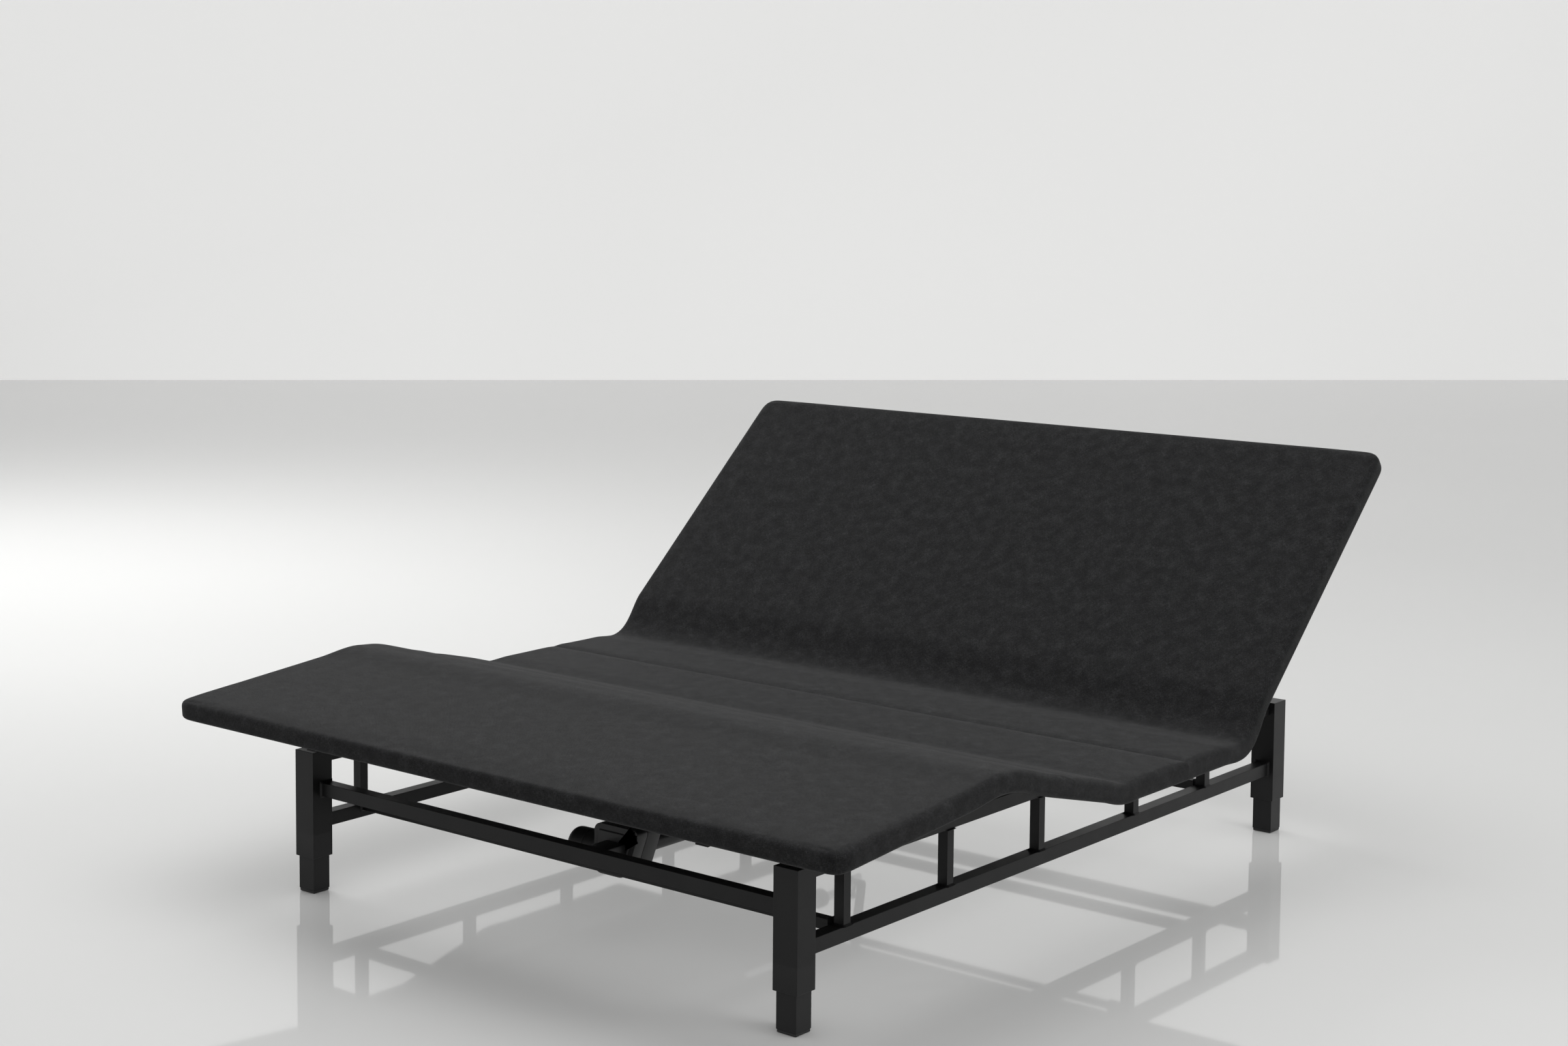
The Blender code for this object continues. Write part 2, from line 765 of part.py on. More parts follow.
def add_link_lug(rail, side):
    """The plate under a foot rail and the pin that its link turns on."""
    pin = (LINK_LUG_Y, -LINK_LUG_DROP)
    inner_face = RAIL / 2
    plate = prism(
        link_outline((-0.030, DECK_RAIL_Z), 0.010, pin, LINK_EYE_RADIUS),
        -side * (inner_face + LINK_THICKNESS * 0.6),
        -side * (inner_face - RAIL_WALL * 0.75),
    )
    combine(rail, plate, "UNION")
    reach = FOOT_RAIL_X - LINK_X + LINK_THICKNESS / 2 + 0.002
    pin_length = reach - inner_face
    centre = (-side * (inner_face + pin_length / 2), *pin)
    combine(rail, rod_along("X", centre, PIN_RADIUS, pin_length, SMALL_STEPS), "UNION")


def link_lug_at_rest():
    """The lug pin's y and z with the bed as it stands."""
    knee = turned(-THIGH_LENGTH, 0, -THIGH_REST)
    lug = turned(LINK_LUG_Y, -LINK_LUG_DROP, FOOT_REST)
    return THIGH_AXIS_Y + knee[0] + lug[0], AXIS_Z + knee[1] + lug[1]


def make_links(root, finish):
    """Links that hold the foot section's slope, and their hangers on the thigh tube."""
    anchor = (LINK_ANCHOR_Y, LINK_ANCHOR_Z)
    lug_y, lug_z = link_lug_at_rest()
    far = (lug_y - LINK_ANCHOR_Y, lug_z - LINK_ANCHOR_Z)
    half = LINK_THICKNESS / 2
    for side, side_name in ((-1, "left"), (1, "right")):
        link = add_object(
            f"foot_link_{side_name}",
            prism(link_outline((0, 0), LINK_EYE_RADIUS, far, LINK_EYE_RADIUS), -half, half),
            finish["frame"],
            root,
            (side * LINK_X, *anchor),
        )
        for point, play in (((0, 0), PIN_CLEARANCE), (far, LINK_PLAY)):
            hole = rod_along(
                "X", (0, *point), PIN_RADIUS + play, 4 * LINK_THICKNESS, SMALL_STEPS
            )
            combine(link, hole, "DIFFERENCE")
        make_hanger(root, finish, side, side_name, anchor)


def make_hanger(root, finish, side, side_name, anchor):
    """A plate clamped on the thigh hinge tube with a stud for one link."""
    outer = LINK_X - LINK_THICKNESS / 2 - HANGER_GAP
    inner = outer - HANGER_THICKNESS
    top = (THIGH_AXIS_Y, AXIS_Z)
    outline = link_outline(top, EYE_RADIUS, anchor, LINK_EYE_RADIUS)
    hanger = add_object(
        f"link_hanger_{side_name}",
        prism(outline, side * inner, side * outer),
        finish["frame"],
        root,
    )
    stud_end = LINK_X + LINK_THICKNESS / 2 + 0.001
    stud_start = inner + HANGER_THICKNESS / 2
    centre = (side * (stud_start + stud_end) / 2, *anchor)
    stud = rod_along("X", centre, PIN_RADIUS, stud_end - stud_start, SMALL_STEPS)
    combine(hanger, stud, "UNION")
    bore = rod_along(
        "X", (side * outer, *top), HINGE_TUBE_RADIUS + PIN_CLEARANCE, 6 * HANGER_THICKNESS
    )
    combine(hanger, bore, "DIFFERENCE")


def make_seat(root, finish):
    """The fixed section, with the control box on its underside."""
    section = add_empty("seat", root, (0, HEAD_AXIS_Y, AXIS_Z))
    make_section(
        "seat",
        section,
        finish,
        lambda z: -mitred(z, HEAD_MOST),
        lambda z: -SEAT_LENGTH + mitred(z, THIGH_MOST),
        None,
    )
    width, length, height = CONTROL_BOX
    top = BOARD_BOTTOM - TOUCH
    case = block((0, 0, 0), CONTROL_BOX)
    bmesh.ops.bevel(case, geom=case.edges[:], offset=0.003, segments=1, affect="EDGES")
    box = add_object(
        "control_box",
        case,
        finish["plastic"],
        root,
        (CONTROL_BOX_X, CONTROL_BOX_Y, top - height / 2),
    )
    depth, inlet_width, inlet_height = INLET
    overrun = 0.005
    inlet = block(
        (width / 2 - depth / 2 + overrun / 2, length / 4, 0),
        (depth + overrun, inlet_width, inlet_height),
    )
    combine(box, inlet, "DIFFERENCE")


def main():
    for old in list(bpy.data.objects):
        bpy.data.objects.remove(old, do_unlink=True)
    finish = {
        "frame": make_material("black_steel", (0.022, 0.022, 0.023), 0.45, 0.0),
        "leg": make_material("black_leg", (0.018, 0.018, 0.019), 0.38, 0.0),
        "fabric": make_material("charcoal_fabric", (0.035, 0.036, 0.035), 0.95, 0.0),
        "board": make_material("deck_board", (0.42, 0.30, 0.18), 0.75, 0.0),
        "plastic": make_material("black_plastic", (0.012, 0.012, 0.012), 0.55, 0.0),
        "actuator": make_material("actuator_case", (0.030, 0.030, 0.032), 0.50, 0.0),
        "rod": make_material("steel_rod", (0.55, 0.55, 0.56), 0.30, 1.0),
    }
    root = add_empty("bed_centre", None, (0, centre_shift(), 0))
    for side, side_name in ((-1, "left"), (1, "right")):
        for end, end_name in ((-1, "foot"), (1, "head")):
            make_leg(root, finish, side, end, side_name, end_name)
        make_side(root, finish, side, side_name)
    make_cross_members(root, finish)
    make_seat(root, finish)
    make_head(root, finish)
    make_thigh_and_foot(root, finish)
    make_head_actuator(root, finish)
    make_leg_actuator(root, finish)
    make_links(root, finish)


main()
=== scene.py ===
"""Adjustable bed base: finishes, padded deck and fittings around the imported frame."""

import json
import logging
import math
from dataclasses import dataclass, field
from enum import Enum
from typing import Callable, Dict, Iterable, List, Optional, Sequence, Tuple

import bmesh
import bpy
import numpy as np
from mathutils import Euler, Matrix, Vector


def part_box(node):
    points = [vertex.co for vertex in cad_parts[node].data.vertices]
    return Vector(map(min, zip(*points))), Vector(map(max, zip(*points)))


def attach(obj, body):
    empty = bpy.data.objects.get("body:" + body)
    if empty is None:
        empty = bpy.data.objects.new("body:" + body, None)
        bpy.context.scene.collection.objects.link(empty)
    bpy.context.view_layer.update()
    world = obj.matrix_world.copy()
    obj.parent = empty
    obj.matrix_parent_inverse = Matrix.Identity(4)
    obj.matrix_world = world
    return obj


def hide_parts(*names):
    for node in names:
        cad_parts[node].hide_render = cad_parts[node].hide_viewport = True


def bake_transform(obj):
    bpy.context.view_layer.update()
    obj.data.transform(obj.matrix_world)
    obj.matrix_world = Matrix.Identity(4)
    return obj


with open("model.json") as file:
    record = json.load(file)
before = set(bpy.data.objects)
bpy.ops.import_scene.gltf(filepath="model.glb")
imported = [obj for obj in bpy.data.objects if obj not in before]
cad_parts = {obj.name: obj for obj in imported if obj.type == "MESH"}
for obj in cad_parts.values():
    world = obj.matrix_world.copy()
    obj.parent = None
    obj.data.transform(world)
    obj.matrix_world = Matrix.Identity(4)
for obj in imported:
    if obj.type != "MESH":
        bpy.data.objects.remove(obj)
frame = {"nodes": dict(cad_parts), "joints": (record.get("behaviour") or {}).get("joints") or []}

Point = Tuple[float, float, float]
Colour = Tuple[float, float, float]
Place = Tuple[Point, Point]
Socket = bpy.types.NodeSocket
Material = bpy.types.Material
Piece = bpy.types.Object
Test = Callable[[object], bool]

LOG = logging.getLogger("bed_base")
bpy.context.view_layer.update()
OPEN_ANGLE = math.radians(40)
SETTLING_ROUNDS = 80


class Section(Enum):
    """Bodies of the frame that new pieces ride on."""

    BASE = "base"
    HEAD = "head_section"
    THIGH = "thigh_section"
    FOOT = "foot_section"


class Slot(Enum):
    """Material slots of the record, named along with new pieces."""

    FRAME = "frame_coat"
    FABRIC = "deck_fabric"
    PLASTIC = "black_plastic"
    ACTUATOR = "actuator_case"
    STEEL = "rod_steel"


# ---------------------------------------------------------------- finishes


class NodeBook:
    """A material's node tree, written one node at a time."""

    def __init__(self, name: str) -> None:
        """Start a material with its output and shader.

        Args:
            name: the material's name.
        """
        self.material = bpy.data.materials.new(name)
        self.material.use_nodes = True
        self.tree = self.material.node_tree

    def feed(self, node: bpy.types.Node, sockets: Dict[object, object]) -> None:
        """Set a node's sockets or link them.

        Args:
            node: the node.
            sockets: a number, a vector or another node's socket for each socket.
        """
        for key, value in sockets.items():
            if isinstance(value, Socket):
                self.tree.links.new(value, node.inputs[key])
            else:
                node.inputs[key].default_value = value

    def node(self, kind: str, sockets: Dict[object, object], **settings: object) -> bpy.types.Node:
        """Add a node.

        Args:
            kind: its type's name after ShaderNode.
            sockets: what its sockets get.
            **settings: its other properties.

        Returns:
            The new node.
        """
        made = self.tree.nodes.new("ShaderNode" + kind)
        for key, value in settings.items():
            setattr(made, key, value)
        self.feed(made, sockets)
        return made

    def place(self, uv: Optional[str] = None, scale: Point = (1, 1, 1)) -> Socket:
        """A scaled coordinate.

        Args:
            uv: name of a UV map, or None for object coordinates.
            scale: how much each axis is stretched.

        Returns:
            The coordinate.
        """
        if uv is None:
            source = self.node("TexCoord", {}).outputs["Object"]
        else:
            source = self.node("UVMap", {}, uv_map=uv).outputs["UV"]
        return self.node("Mapping", {"Vector": source, "Scale": scale}).outputs["Vector"]

    def noise(self, where: Socket, scale: float, detail: float = 2.0, rough: float = 0.5) -> Socket:
        """Value noise.

        Args:
            where: coordinate.
            scale: noise scale.
            detail: number of octaves.
            rough: roughness of the octaves.

        Returns:
            The noise's value.
        """
        sockets = {"Vector": where, "Scale": scale, "Detail": detail, "Roughness": rough}
        return self.node("TexNoise", sockets).outputs["Fac"]

    def wave(self, where: Socket, axis: str, pitch: float) -> Socket:
        """Parallel threads, a little uneven.

        Args:
            where: coordinate in metres.
            axis: X or Y.
            pitch: width of one thread in metres.

        Returns:
            The wave's value.
        """
        sockets = {"Vector": where, "Scale": math.pi / 10 / pitch}
        sockets.update({"Distortion": 1.1, "Detail": 1.0, "Detail Scale": 1.6})
        return self.node("TexWave", sockets, bands_direction=axis, wave_profile="SIN").outputs["Fac"]

    def ramp(self, value: Socket, *stops: Tuple[float, Colour]) -> Socket:
        """A colour for each value.

        Args:
            value: the value.
            *stops: position and colour of each stop.

        Returns:
            The colour.
        """
        made = self.node("ValToRGB", {"Fac": value})
        elements = made.color_ramp.elements
        while len(elements) < len(stops):
            elements.new(0.5)
        for element, (position, colour) in zip(elements, stops):
            element.position, element.color = position, (*colour, 1.0)
        return made.outputs["Color"]

    def span(self, value: Socket, low: float, high: float) -> Socket:
        """A value from 0..1 moved to low..high.

        Args:
            value: the value.
            low: result at 0.
            high: result at 1.

        Returns:
            The new value.
        """
        return self.node("MapRange", {"Value": value, "To Min": low, "To Max": high}).outputs["Result"]

    def sums(self, operation: str, a: Socket, b: object) -> Socket:
        """A sum of two values.

        Args:
            operation: the Math node's operation.
            a: first value.
            b: second value, a socket or a number.

        Returns:
            The result.
        """
        return self.node("Math", {0: a, 1: b}, operation=operation).outputs[0]

    def share(self, a: Socket, b: Socket, part: float) -> Socket:
        """Two values added in fixed shares.

        Args:
            a: first value.
            b: second value.
            part: the second's share.

        Returns:
            The result.
        """
        return self.sums("ADD", self.sums("MULTIPLY", a, 1 - part), self.sums("MULTIPLY", b, part))

    def choose(self, which: Socket, a: Socket, b: Socket) -> Socket:
        """One of two values, or a mix.

        Args:
            which: 0 for the first, 1 for the second.
            a: first value.
            b: second value.

        Returns:
            The result.
        """
        return self.node("Mix", {0: which, 2: a, 3: b}, data_type="FLOAT").outputs[0]

    def bump(self, height: Socket, strength: float, distance: float, *under: Socket) -> Socket:
        """A bump from a height.

        Args:
            height: the height.
            strength: 0 to 1.
            distance: height of 1, in metres.
            *under: the normal it adds to, if any.

        Returns:
            The normal.
        """
        sockets = {"Height": height, "Strength": strength, "Distance": distance}
        sockets.update(("Normal", normal) for normal in under)
        return self.node("Bump", sockets).outputs["Normal"]

    def finish(self, **sockets: object) -> Material:
        """Feed the shader.

        Args:
            **sockets: values for its sockets, named with _ for a space.

        Returns:
            The finished material.
        """
        shader = self.tree.nodes["Principled BSDF"]
        self.feed(shader, {key.replace("_", " "): value for key, value in sockets.items()})
        return self.material


@dataclass(frozen=True)
class PowderCoat:
    """Satin powder coat on steel tube, with its fine orange peel."""

    name: str
    deep: Colour
    pale: Colour
    smoothest: float = 0.36
    roughest: float = 0.50
    peel: float = 620.0

    def make(self) -> Material:
        """Build the material.

        Returns:
            The material.
        """
        book = NodeBook(self.name)
        here = book.place()
        speckle = book.noise(here, 2600.0, 1.0)
        tone = book.share(speckle, book.noise(here, 5.0, 4.0, 0.6), 0.65)
        handled = book.noise(here, 22.0, 3.0, 0.55)
        grains = book.bump(speckle, 0.10, 0.0001)
        return book.finish(
            Base_Color=book.ramp(tone, (0.30, self.deep), (0.72, self.pale)),
            Roughness=book.span(handled, self.smoothest, self.roughest),
            Normal=book.bump(book.noise(here, self.peel, 1.5), 0.22, 0.00035, grains),
            Specular_IOR_Level=0.26,
            IOR=1.5,
        )


@dataclass(frozen=True)
class HeatherWeave:
    """Plain-woven upholstery in two charcoal yarns."""

    name: str
    dark: Colour
    mid: Colour
    light: Colour
    thread: float = 0.0011
    slub: Tuple[float, float] = (150, 1100)

    def make(self) -> Material:
        """Build the material.

        Returns:
            The material.
        """
        book = NodeBook(self.name)
        cloth = book.place("cloth")
        weft = book.noise(book.place("cloth", (*self.slub, 1)), 1.0, 2.0, 0.6)
        warp = book.noise(book.place("cloth", (*self.slub[::-1], 1)), 1.0, 2.0, 0.6)
        checker = book.node("TexChecker", {"Vector": cloth, "Scale": 1.0 / self.thread})
        side = checker.outputs["Fac"]
        cloudy = book.noise(cloth, 38.0, 3.0, 0.6)
        tone = book.share(book.choose(side, weft, warp), cloudy, 0.28)
        threads = [book.wave(cloth, axis, self.thread) for axis in "XY"]
        fuzz = book.bump(book.noise(cloth, 5200.0, 2.0), 0.30, 0.00012)
        soft = book.bump(book.noise(cloth, 60.0, 3.0, 0.55), 0.25, 0.0016, fuzz)
        return book.finish(
            Base_Color=book.ramp(tone, (0.34, self.dark), (0.50, self.mid), (0.66, self.light)),
            Roughness=book.span(cloudy, 0.80, 0.95),
            Normal=book.bump(book.choose(side, *threads), 0.42, 0.0003, soft),
            Specular_IOR_Level=0.12,
            Sheen_Weight=0.07,
            Sheen_Roughness=0.4,
            IOR=1.5,
        )


@dataclass(frozen=True)
class DustCloth:
    """Bonded dust cloth under the deck, with its small heat-pressed dots."""

    name: str
    dark: Colour
    light: Colour
    pitch: float = 0.0030

    def make(self) -> Material:
        """Build the material.

        Returns:
            The material.
        """
        book = NodeBook(self.name)
        cloth = book.place("cloth")
        fibres = book.noise(cloth, 900.0, 6.0, 0.75)
        dots = book.sums("MULTIPLY", *(book.wave(cloth, axis, self.pitch) for axis in "XY"))
        slack = book.bump(book.noise(cloth, 14.0, 3.0), 0.35, 0.004)
        return book.finish(
            Base_Color=book.ramp(fibres, (0.35, self.dark), (0.68, self.light)),
            Roughness=book.span(fibres, 0.72, 0.92),
            Normal=book.bump(dots, 0.5, 0.0002, slack),
            Specular_IOR_Level=0.3,
            IOR=1.5,
        )


@dataclass(frozen=True)
class MouldedPlastic:
    """Moulded plastic with a spark-eroded texture."""

    name: str
    deep: Colour
    pale: Colour
    smoothest: float = 0.42
    roughest: float = 0.58
    grain: float = 1500.0
    depth: float = 0.00018

    def make(self) -> Material:
        """Build the material.

        Returns:
            The material.
        """
        book = NodeBook(self.name)
        here = book.place()
        rubbed = book.noise(here, 18.0, 4.0, 0.6)
        return book.finish(
            Base_Color=book.ramp(rubbed, (0.32, self.deep), (0.70, self.pale)),
            Roughness=book.span(rubbed, self.smoothest, self.roughest),
            Normal=book.bump(book.noise(here, self.grain, 2.0, 0.55), 0.35, self.depth),
            Specular_IOR_Level=0.5,
            IOR=1.5,
        )


@dataclass(frozen=True)
class BrushedSteel:
    """Bright plated steel, drawn along one axis."""

    name: str
    dull: Colour
    bright: Colour
    stretch: Point = (1, 0.02, 1)
    smoothest: float = 0.22
    roughest: float = 0.38

    def make(self) -> Material:
        """Build the material.

        Returns:
            The material.
        """
        book = NodeBook(self.name)
        drawn = book.noise(book.place(None, self.stretch), 900.0, 3.0, 0.6)
        stain = book.noise(book.place(), 40.0, 4.0, 0.6)
        return book.finish(
            Base_Color=book.ramp(stain, (0.30, self.dull), (0.70, self.bright)),
            Roughness=book.span(drawn, self.smoothest, self.roughest),
            Normal=book.bump(drawn, 0.12, 0.0001),
            Metallic=1.0,
            IOR=1.5,
        )


@dataclass(frozen=True)
class PlainGround:
    """Floor or backdrop of the studio."""

    name: str
    deep: Colour
    pale: Colour
    smoothest: float
    roughest: float
    gloss: float

    def make(self) -> Material:
        """Build the material.

        Returns:
            The material.
        """
        book = NodeBook(self.name)
        wide = book.noise(book.place(), 0.25, 2.0)
        return book.finish(
            Base_Color=book.ramp(wide, (0.3, self.deep), (0.7, self.pale)),
            Roughness=book.span(wide, self.smoothest, self.roughest),
            Specular_IOR_Level=self.gloss,
            IOR=1.5,
        )


def grey(level: float, blue: float = 0.0) -> Colour:
    """A grey with a little more blue."""
    return (level, level, level + blue)


class Finishes:
    """Every finish of the bed base, each made once."""

    def __init__(self) -> None:
        """Make the materials."""
        coats = (grey(0.0048, 0.0002), grey(0.0085, 0.0002)), (grey(0.0052, 0.0002), grey(0.0090, 0.0002))
        self.frame = PowderCoat("satin_frame_coat", *coats[0]).make()
        self.leg = PowderCoat("satin_leg_coat", *coats[1], 0.34, 0.46).make()
        bead = grey(0.0045, 0.0002), grey(0.0080, 0.0002)
        self.weld = PowderCoat("coated_weld", *bead, 0.38, 0.55, 260.0).make()
        yarns = (0.0036, 0.0037, 0.0040), (0.0100, 0.0102, 0.0105), (0.0330, 0.0335, 0.0345)
        self.fabric = HeatherWeave("charcoal_heather", *yarns).make()
        self.dust = DustCloth("bonded_dust_cloth", grey(0.004, 0.0002), grey(0.014, 0.0005)).make()
        twist = grey(0.010, 0.0005), grey(0.020, 0.001), grey(0.036, 0.001)
        self.thread = HeatherWeave("seam_thread", *twist, 0.0004).make()
        casing = grey(0.0100, 0.0004), grey(0.0170, 0.0004)
        self.casing = MouldedPlastic("actuator_casing", *casing, 0.36, 0.52).make()
        shell = grey(0.0120, 0.0004), grey(0.0185, 0.0005)
        self.box = MouldedPlastic("control_box_shell", *shell, 0.44, 0.60, 1900.0).make()
        nylon = grey(0.0085, 0.0002), grey(0.0130, 0.0002)
        self.glide = MouldedPlastic("glide_nylon", *nylon, 0.48, 0.66, 1100.0).make()
        self.rod = BrushedSteel("drawn_rod", grey(0.42, 0.01), grey(0.62, 0.01)).make()
        zinc = grey(0.34, -0.01), grey(0.56, -0.02)
        self.plated = BrushedSteel("plated_fastener", *zinc, (1, 1, 0.1), 0.26, 0.44).make()


# ---------------------------------------------------------------- hand tools


class Bench:
    """Hand tools that shape one mesh at a time."""

    @staticmethod
    def clear() -> None:
        """Go back to object mode with nothing selected."""
        if bpy.context.mode != "OBJECT":
            bpy.ops.object.mode_set(mode="OBJECT")
        bpy.ops.object.select_all(action="DESELECT")

    @staticmethod
    def hold(piece: Piece) -> None:
        """Select one piece only and make it active.

        Args:
            piece: the piece.
        """
        Bench.clear()
        piece.select_set(True)
        bpy.context.view_layer.objects.active = piece

    @staticmethod
    def drop(*pieces: Piece) -> None:
        """Throw models away.

        Args:
            *pieces: the models.
        """
        for piece in pieces:
            bpy.data.objects.remove(piece, do_unlink=True)

    @staticmethod
    def settle(name: str) -> Piece:
        """Name the new primitive and put its place in its mesh.

        Args:
            name: the piece's name.

        Returns:
            The piece.
        """
        piece = bpy.context.object
        piece.name = piece.data.name = name
        bpy.ops.object.transform_apply(location=True, rotation=True, scale=True)
        return piece

    @staticmethod
    def box(name: str, centre: Sequence[float], size: Sequence[float]) -> Piece:
        """A box at its place.

        Args:
            name: the piece's name.
            centre: its centre.
            size: its three sides.

        Returns:
            The piece.
        """
        Bench.clear()
        bpy.ops.mesh.primitive_cube_add(size=1, location=centre)
        bpy.context.object.scale = size
        return Bench.settle(name)

    @staticmethod
    def rod(name: str, start: Sequence[float], end: Sequence[float], radius: float, sides: int) -> Piece:
        """A round bar from one point to another.

        Args:
            name: the piece's name.
            start: centre of one end.
            end: centre of the other end.
            radius: its radius.
            sides: number of facets round it.

        Returns:
            The piece.
        """
        Bench.clear()
        middle, way = (Vector(start) + Vector(end)) / 2, Vector(end) - Vector(start)
        turn = way.to_track_quat("Z", "Y").to_euler()
        bpy.ops.mesh.primitive_cylinder_add(
            vertices=sides, radius=radius, depth=way.length, location=middle, rotation=turn
        )
        return Bench.settle(name)

    @staticmethod
    def pick(piece: Piece, faces: Optional[Test] = None, edges: Optional[Test] = None) -> None:
        """Enter edit mode with the faces or edges that pass a test selected.

        Args:
            piece: the piece to edit.
            faces: test for each face.
            edges: test for each edge.
        """
        Bench.hold(piece)
        bpy.ops.object.mode_set(mode="EDIT")
        bpy.ops.mesh.select_mode(type="FACE" if faces else "EDGE")
        bpy.ops.mesh.select_all(action="DESELECT")
        shape = bmesh.from_edit_mesh(piece.data)
        for element in shape.faces if faces else shape.edges:
            if (faces or edges)(element):
                element.select_set(True)
        shape.select_flush_mode()
        bmesh.update_edit_mesh(piece.data)

    @staticmethod
    def round_edges(piece: Piece, radius: float, segments: int, along: Optional[int] = None) -> Piece:
        """Bevel the edges, or only those that run along one axis.

        Args:
            piece: the piece to edit.
            radius: the bevel's size.
            segments: the bevel's steps.
            along: axis number, or None for every edge sharper than OPEN_ANGLE.

        Returns:
            The piece.
        """

        def wanted(edge: bmesh.types.BMEdge) -> bool:
            """Tell whether an edge is bevelled.

            Args:
                edge: the edge.

            Returns:
                Whether it is sharp and runs the right way.
            """
            if len(edge.link_faces) != 2 or edge.calc_face_angle(0.0) < OPEN_ANGLE:
                return False
            way = edge.verts[1].co - edge.verts[0].co
            return along is None or abs(way[along]) > 0.9 * way.length

        Bench.pick(piece, edges=wanted)
        bpy.ops.mesh.bevel(offset=radius, segments=segments, affect="EDGES", clamp_overlap=True)
        Bench.clear()
        return piece

    @staticmethod
    def facing(*way: float) -> Test:
        """A test for faces that look one way."""
        return lambda face: face.normal.dot(Vector(way)) > 0.95

    @staticmethod
    def join(name: str, pieces: Sequence[Piece]) -> Piece:
        """Make several meshes one piece.

        Args:
            name: the piece's name.
            pieces: the meshes.

        Returns:
            The piece.
        """
        Bench.hold(pieces[0])
        for other in pieces[1:]:
            other.select_set(True)
        if len(pieces) > 1:
            bpy.ops.object.join()
        pieces[0].name = pieces[0].data.name = name
        return pieces[0]

    @staticmethod
    def copy(piece: Piece, place: Matrix) -> Piece:
        """A copy with its own mesh, moved by a matrix.

        Args:
            piece: the model.
            place: where the copy goes.

        Returns:
            The copy.
        """
        Bench.hold(piece)
        bpy.ops.object.duplicate(linked=False)
        made = bpy.context.object
        made.data.transform(place)
        return made

    @staticmethod
    def cut(piece: Piece, tool: Piece) -> None:
        """Cut one mesh out of another and throw the tool away.

        Args:
            piece: the mesh that stays.
            tool: the mesh to cut with.
        """
        Bench.hold(piece)
        boolean = piece.modifiers.new("cut", "BOOLEAN")
        boolean.operation, boolean.solver, boolean.object = "DIFFERENCE", "EXACT", tool
        bpy.ops.object.modifier_apply(modifier=boolean.name)
        Bench.drop(tool)

    @staticmethod
    def soften(piece: Piece, width: float = 0.0, degrees: float = 35.0) -> Piece:
        """Bevel the remaining edges slightly and shade smooth.

        Args:
            piece: the piece.
            width: the bevel's width, or 0 for none.
            degrees: edges sharper than this stay sharp.

        Returns:
            The piece.
        """
        Bench.hold(piece)
        if width:
            bevel = piece.modifiers.new("edge", "BEVEL")
            bevel.width, bevel.segments = width, 2
            bevel.limit_method, bevel.angle_limit = "ANGLE", math.radians(30)
            bpy.ops.object.modifier_apply(modifier=bevel.name)
        bpy.ops.object.shade_smooth_by_angle(angle=math.radians(degrees))
        Bench.clear()
        return piece

    @staticmethod
    def dress(
        piece: Piece, finish: Material, body: Section, slot: Slot, stands_for: Iterable[str] = ()
    ) -> Piece:
        """Give a piece its material and body.

        Args:
            piece: the piece.
            finish: its material.
            body: the body it rides on.
            slot: the record's slot, not used.
            stands_for: CAD nodes that it replaces.

        Returns:
            The piece.
        """
        if not piece.data.materials:
            piece.data.materials.append(finish)
        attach(piece, body.value)
        if stands_for:
            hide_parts(*stands_for)
        LOG.info("%s rides on %s", piece.name, body.value)
        return piece


# ---------------------------------------------------------------- hinges


def joint_axis(name: str) -> Vector:
    """A joint's place in the frame."""
    return next(Vector(j["pos_m"]) for j in frame["joints"] if j["name"] == name)


@dataclass(frozen=True)
class Fold:
    """One hinge of the deck: where it is, which way its far side runs, and how it stands at rest."""

    axis: Vector
    way: int
    slope: float
    turn: float
    before: float
    after: float
    near: Section
    far: Section

    def place(self, flat: np.ndarray) -> np.ndarray:
        """Bend flat points over the hinge and put them in the frame.

        Args:
            flat: rows of x, distance from the axis along the deck, height above it.

        Returns:
            The points in the frame.
        """
        s, h = flat[:, 1], flat[:, 2]
        whole = math.radians(self.turn)
        run = self.before + self.after * math.cos(whole)
        rise = self.after * math.sin(whole)
        share = np.clip((s + self.before) / (self.before + self.after), 0, 1)
        for _ in range(SETTLING_ROUNDS):
            angle = whole * share
            level = s * np.cos(angle) - h * np.sin(angle) + self.before
            height = s * np.sin(angle) + h * np.cos(angle)
            t = np.clip((level * run + height * rise) / (run * run + rise * rise), 0, 1)
            share = 0.5 * share + 0.5 * t * t * (3 - 2 * t)
        angle = whole * share + math.radians(self.slope)
        out = np.empty_like(flat)
        out[:, 0] = flat[:, 0]
        out[:, 1] = self.axis.y + self.way * (s * np.cos(angle) - h * np.sin(angle))
        out[:, 2] = self.axis.z + s * np.sin(angle) + h * np.cos(angle)
        return out

    def end(self, distance: float) -> Point:
        """Find a point of the deck's axis line, straight beyond the hinge.

        Args:
            distance: how far from the hinge, negative for the near side.

        Returns:
            The point.
        """
        angle = math.radians(self.slope + (self.turn if distance > 0 else 0))
        run, rise = distance * math.cos(angle), distance * math.sin(angle)
        return (0.0, self.axis.y + self.way * run, self.axis.z + rise)

    def bend(self, piece: Piece) -> None:
        """Bake a piece's place into its mesh.

        Args:
            piece: the piece.
        """
        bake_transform(piece)


HEAD_REST, THIGH_REST, KNEE_REST = 40.8, 13.9, -18.3
HEAD_FOLD = Fold(joint_axis("head_lift"), 1, 0.0, HEAD_REST, 0.06, 0.125, Section.BASE, Section.HEAD)
THIGH_FOLD = Fold(joint_axis("thigh_lift"), -1, 0.0, THIGH_REST, 0.06, 0.06, Section.BASE, Section.THIGH)
KNEE_FOLD = Fold(joint_axis("knee_fold"), -1, THIGH_REST, KNEE_REST, 0.12, 0.12, Section.THIGH, Section.FOOT)

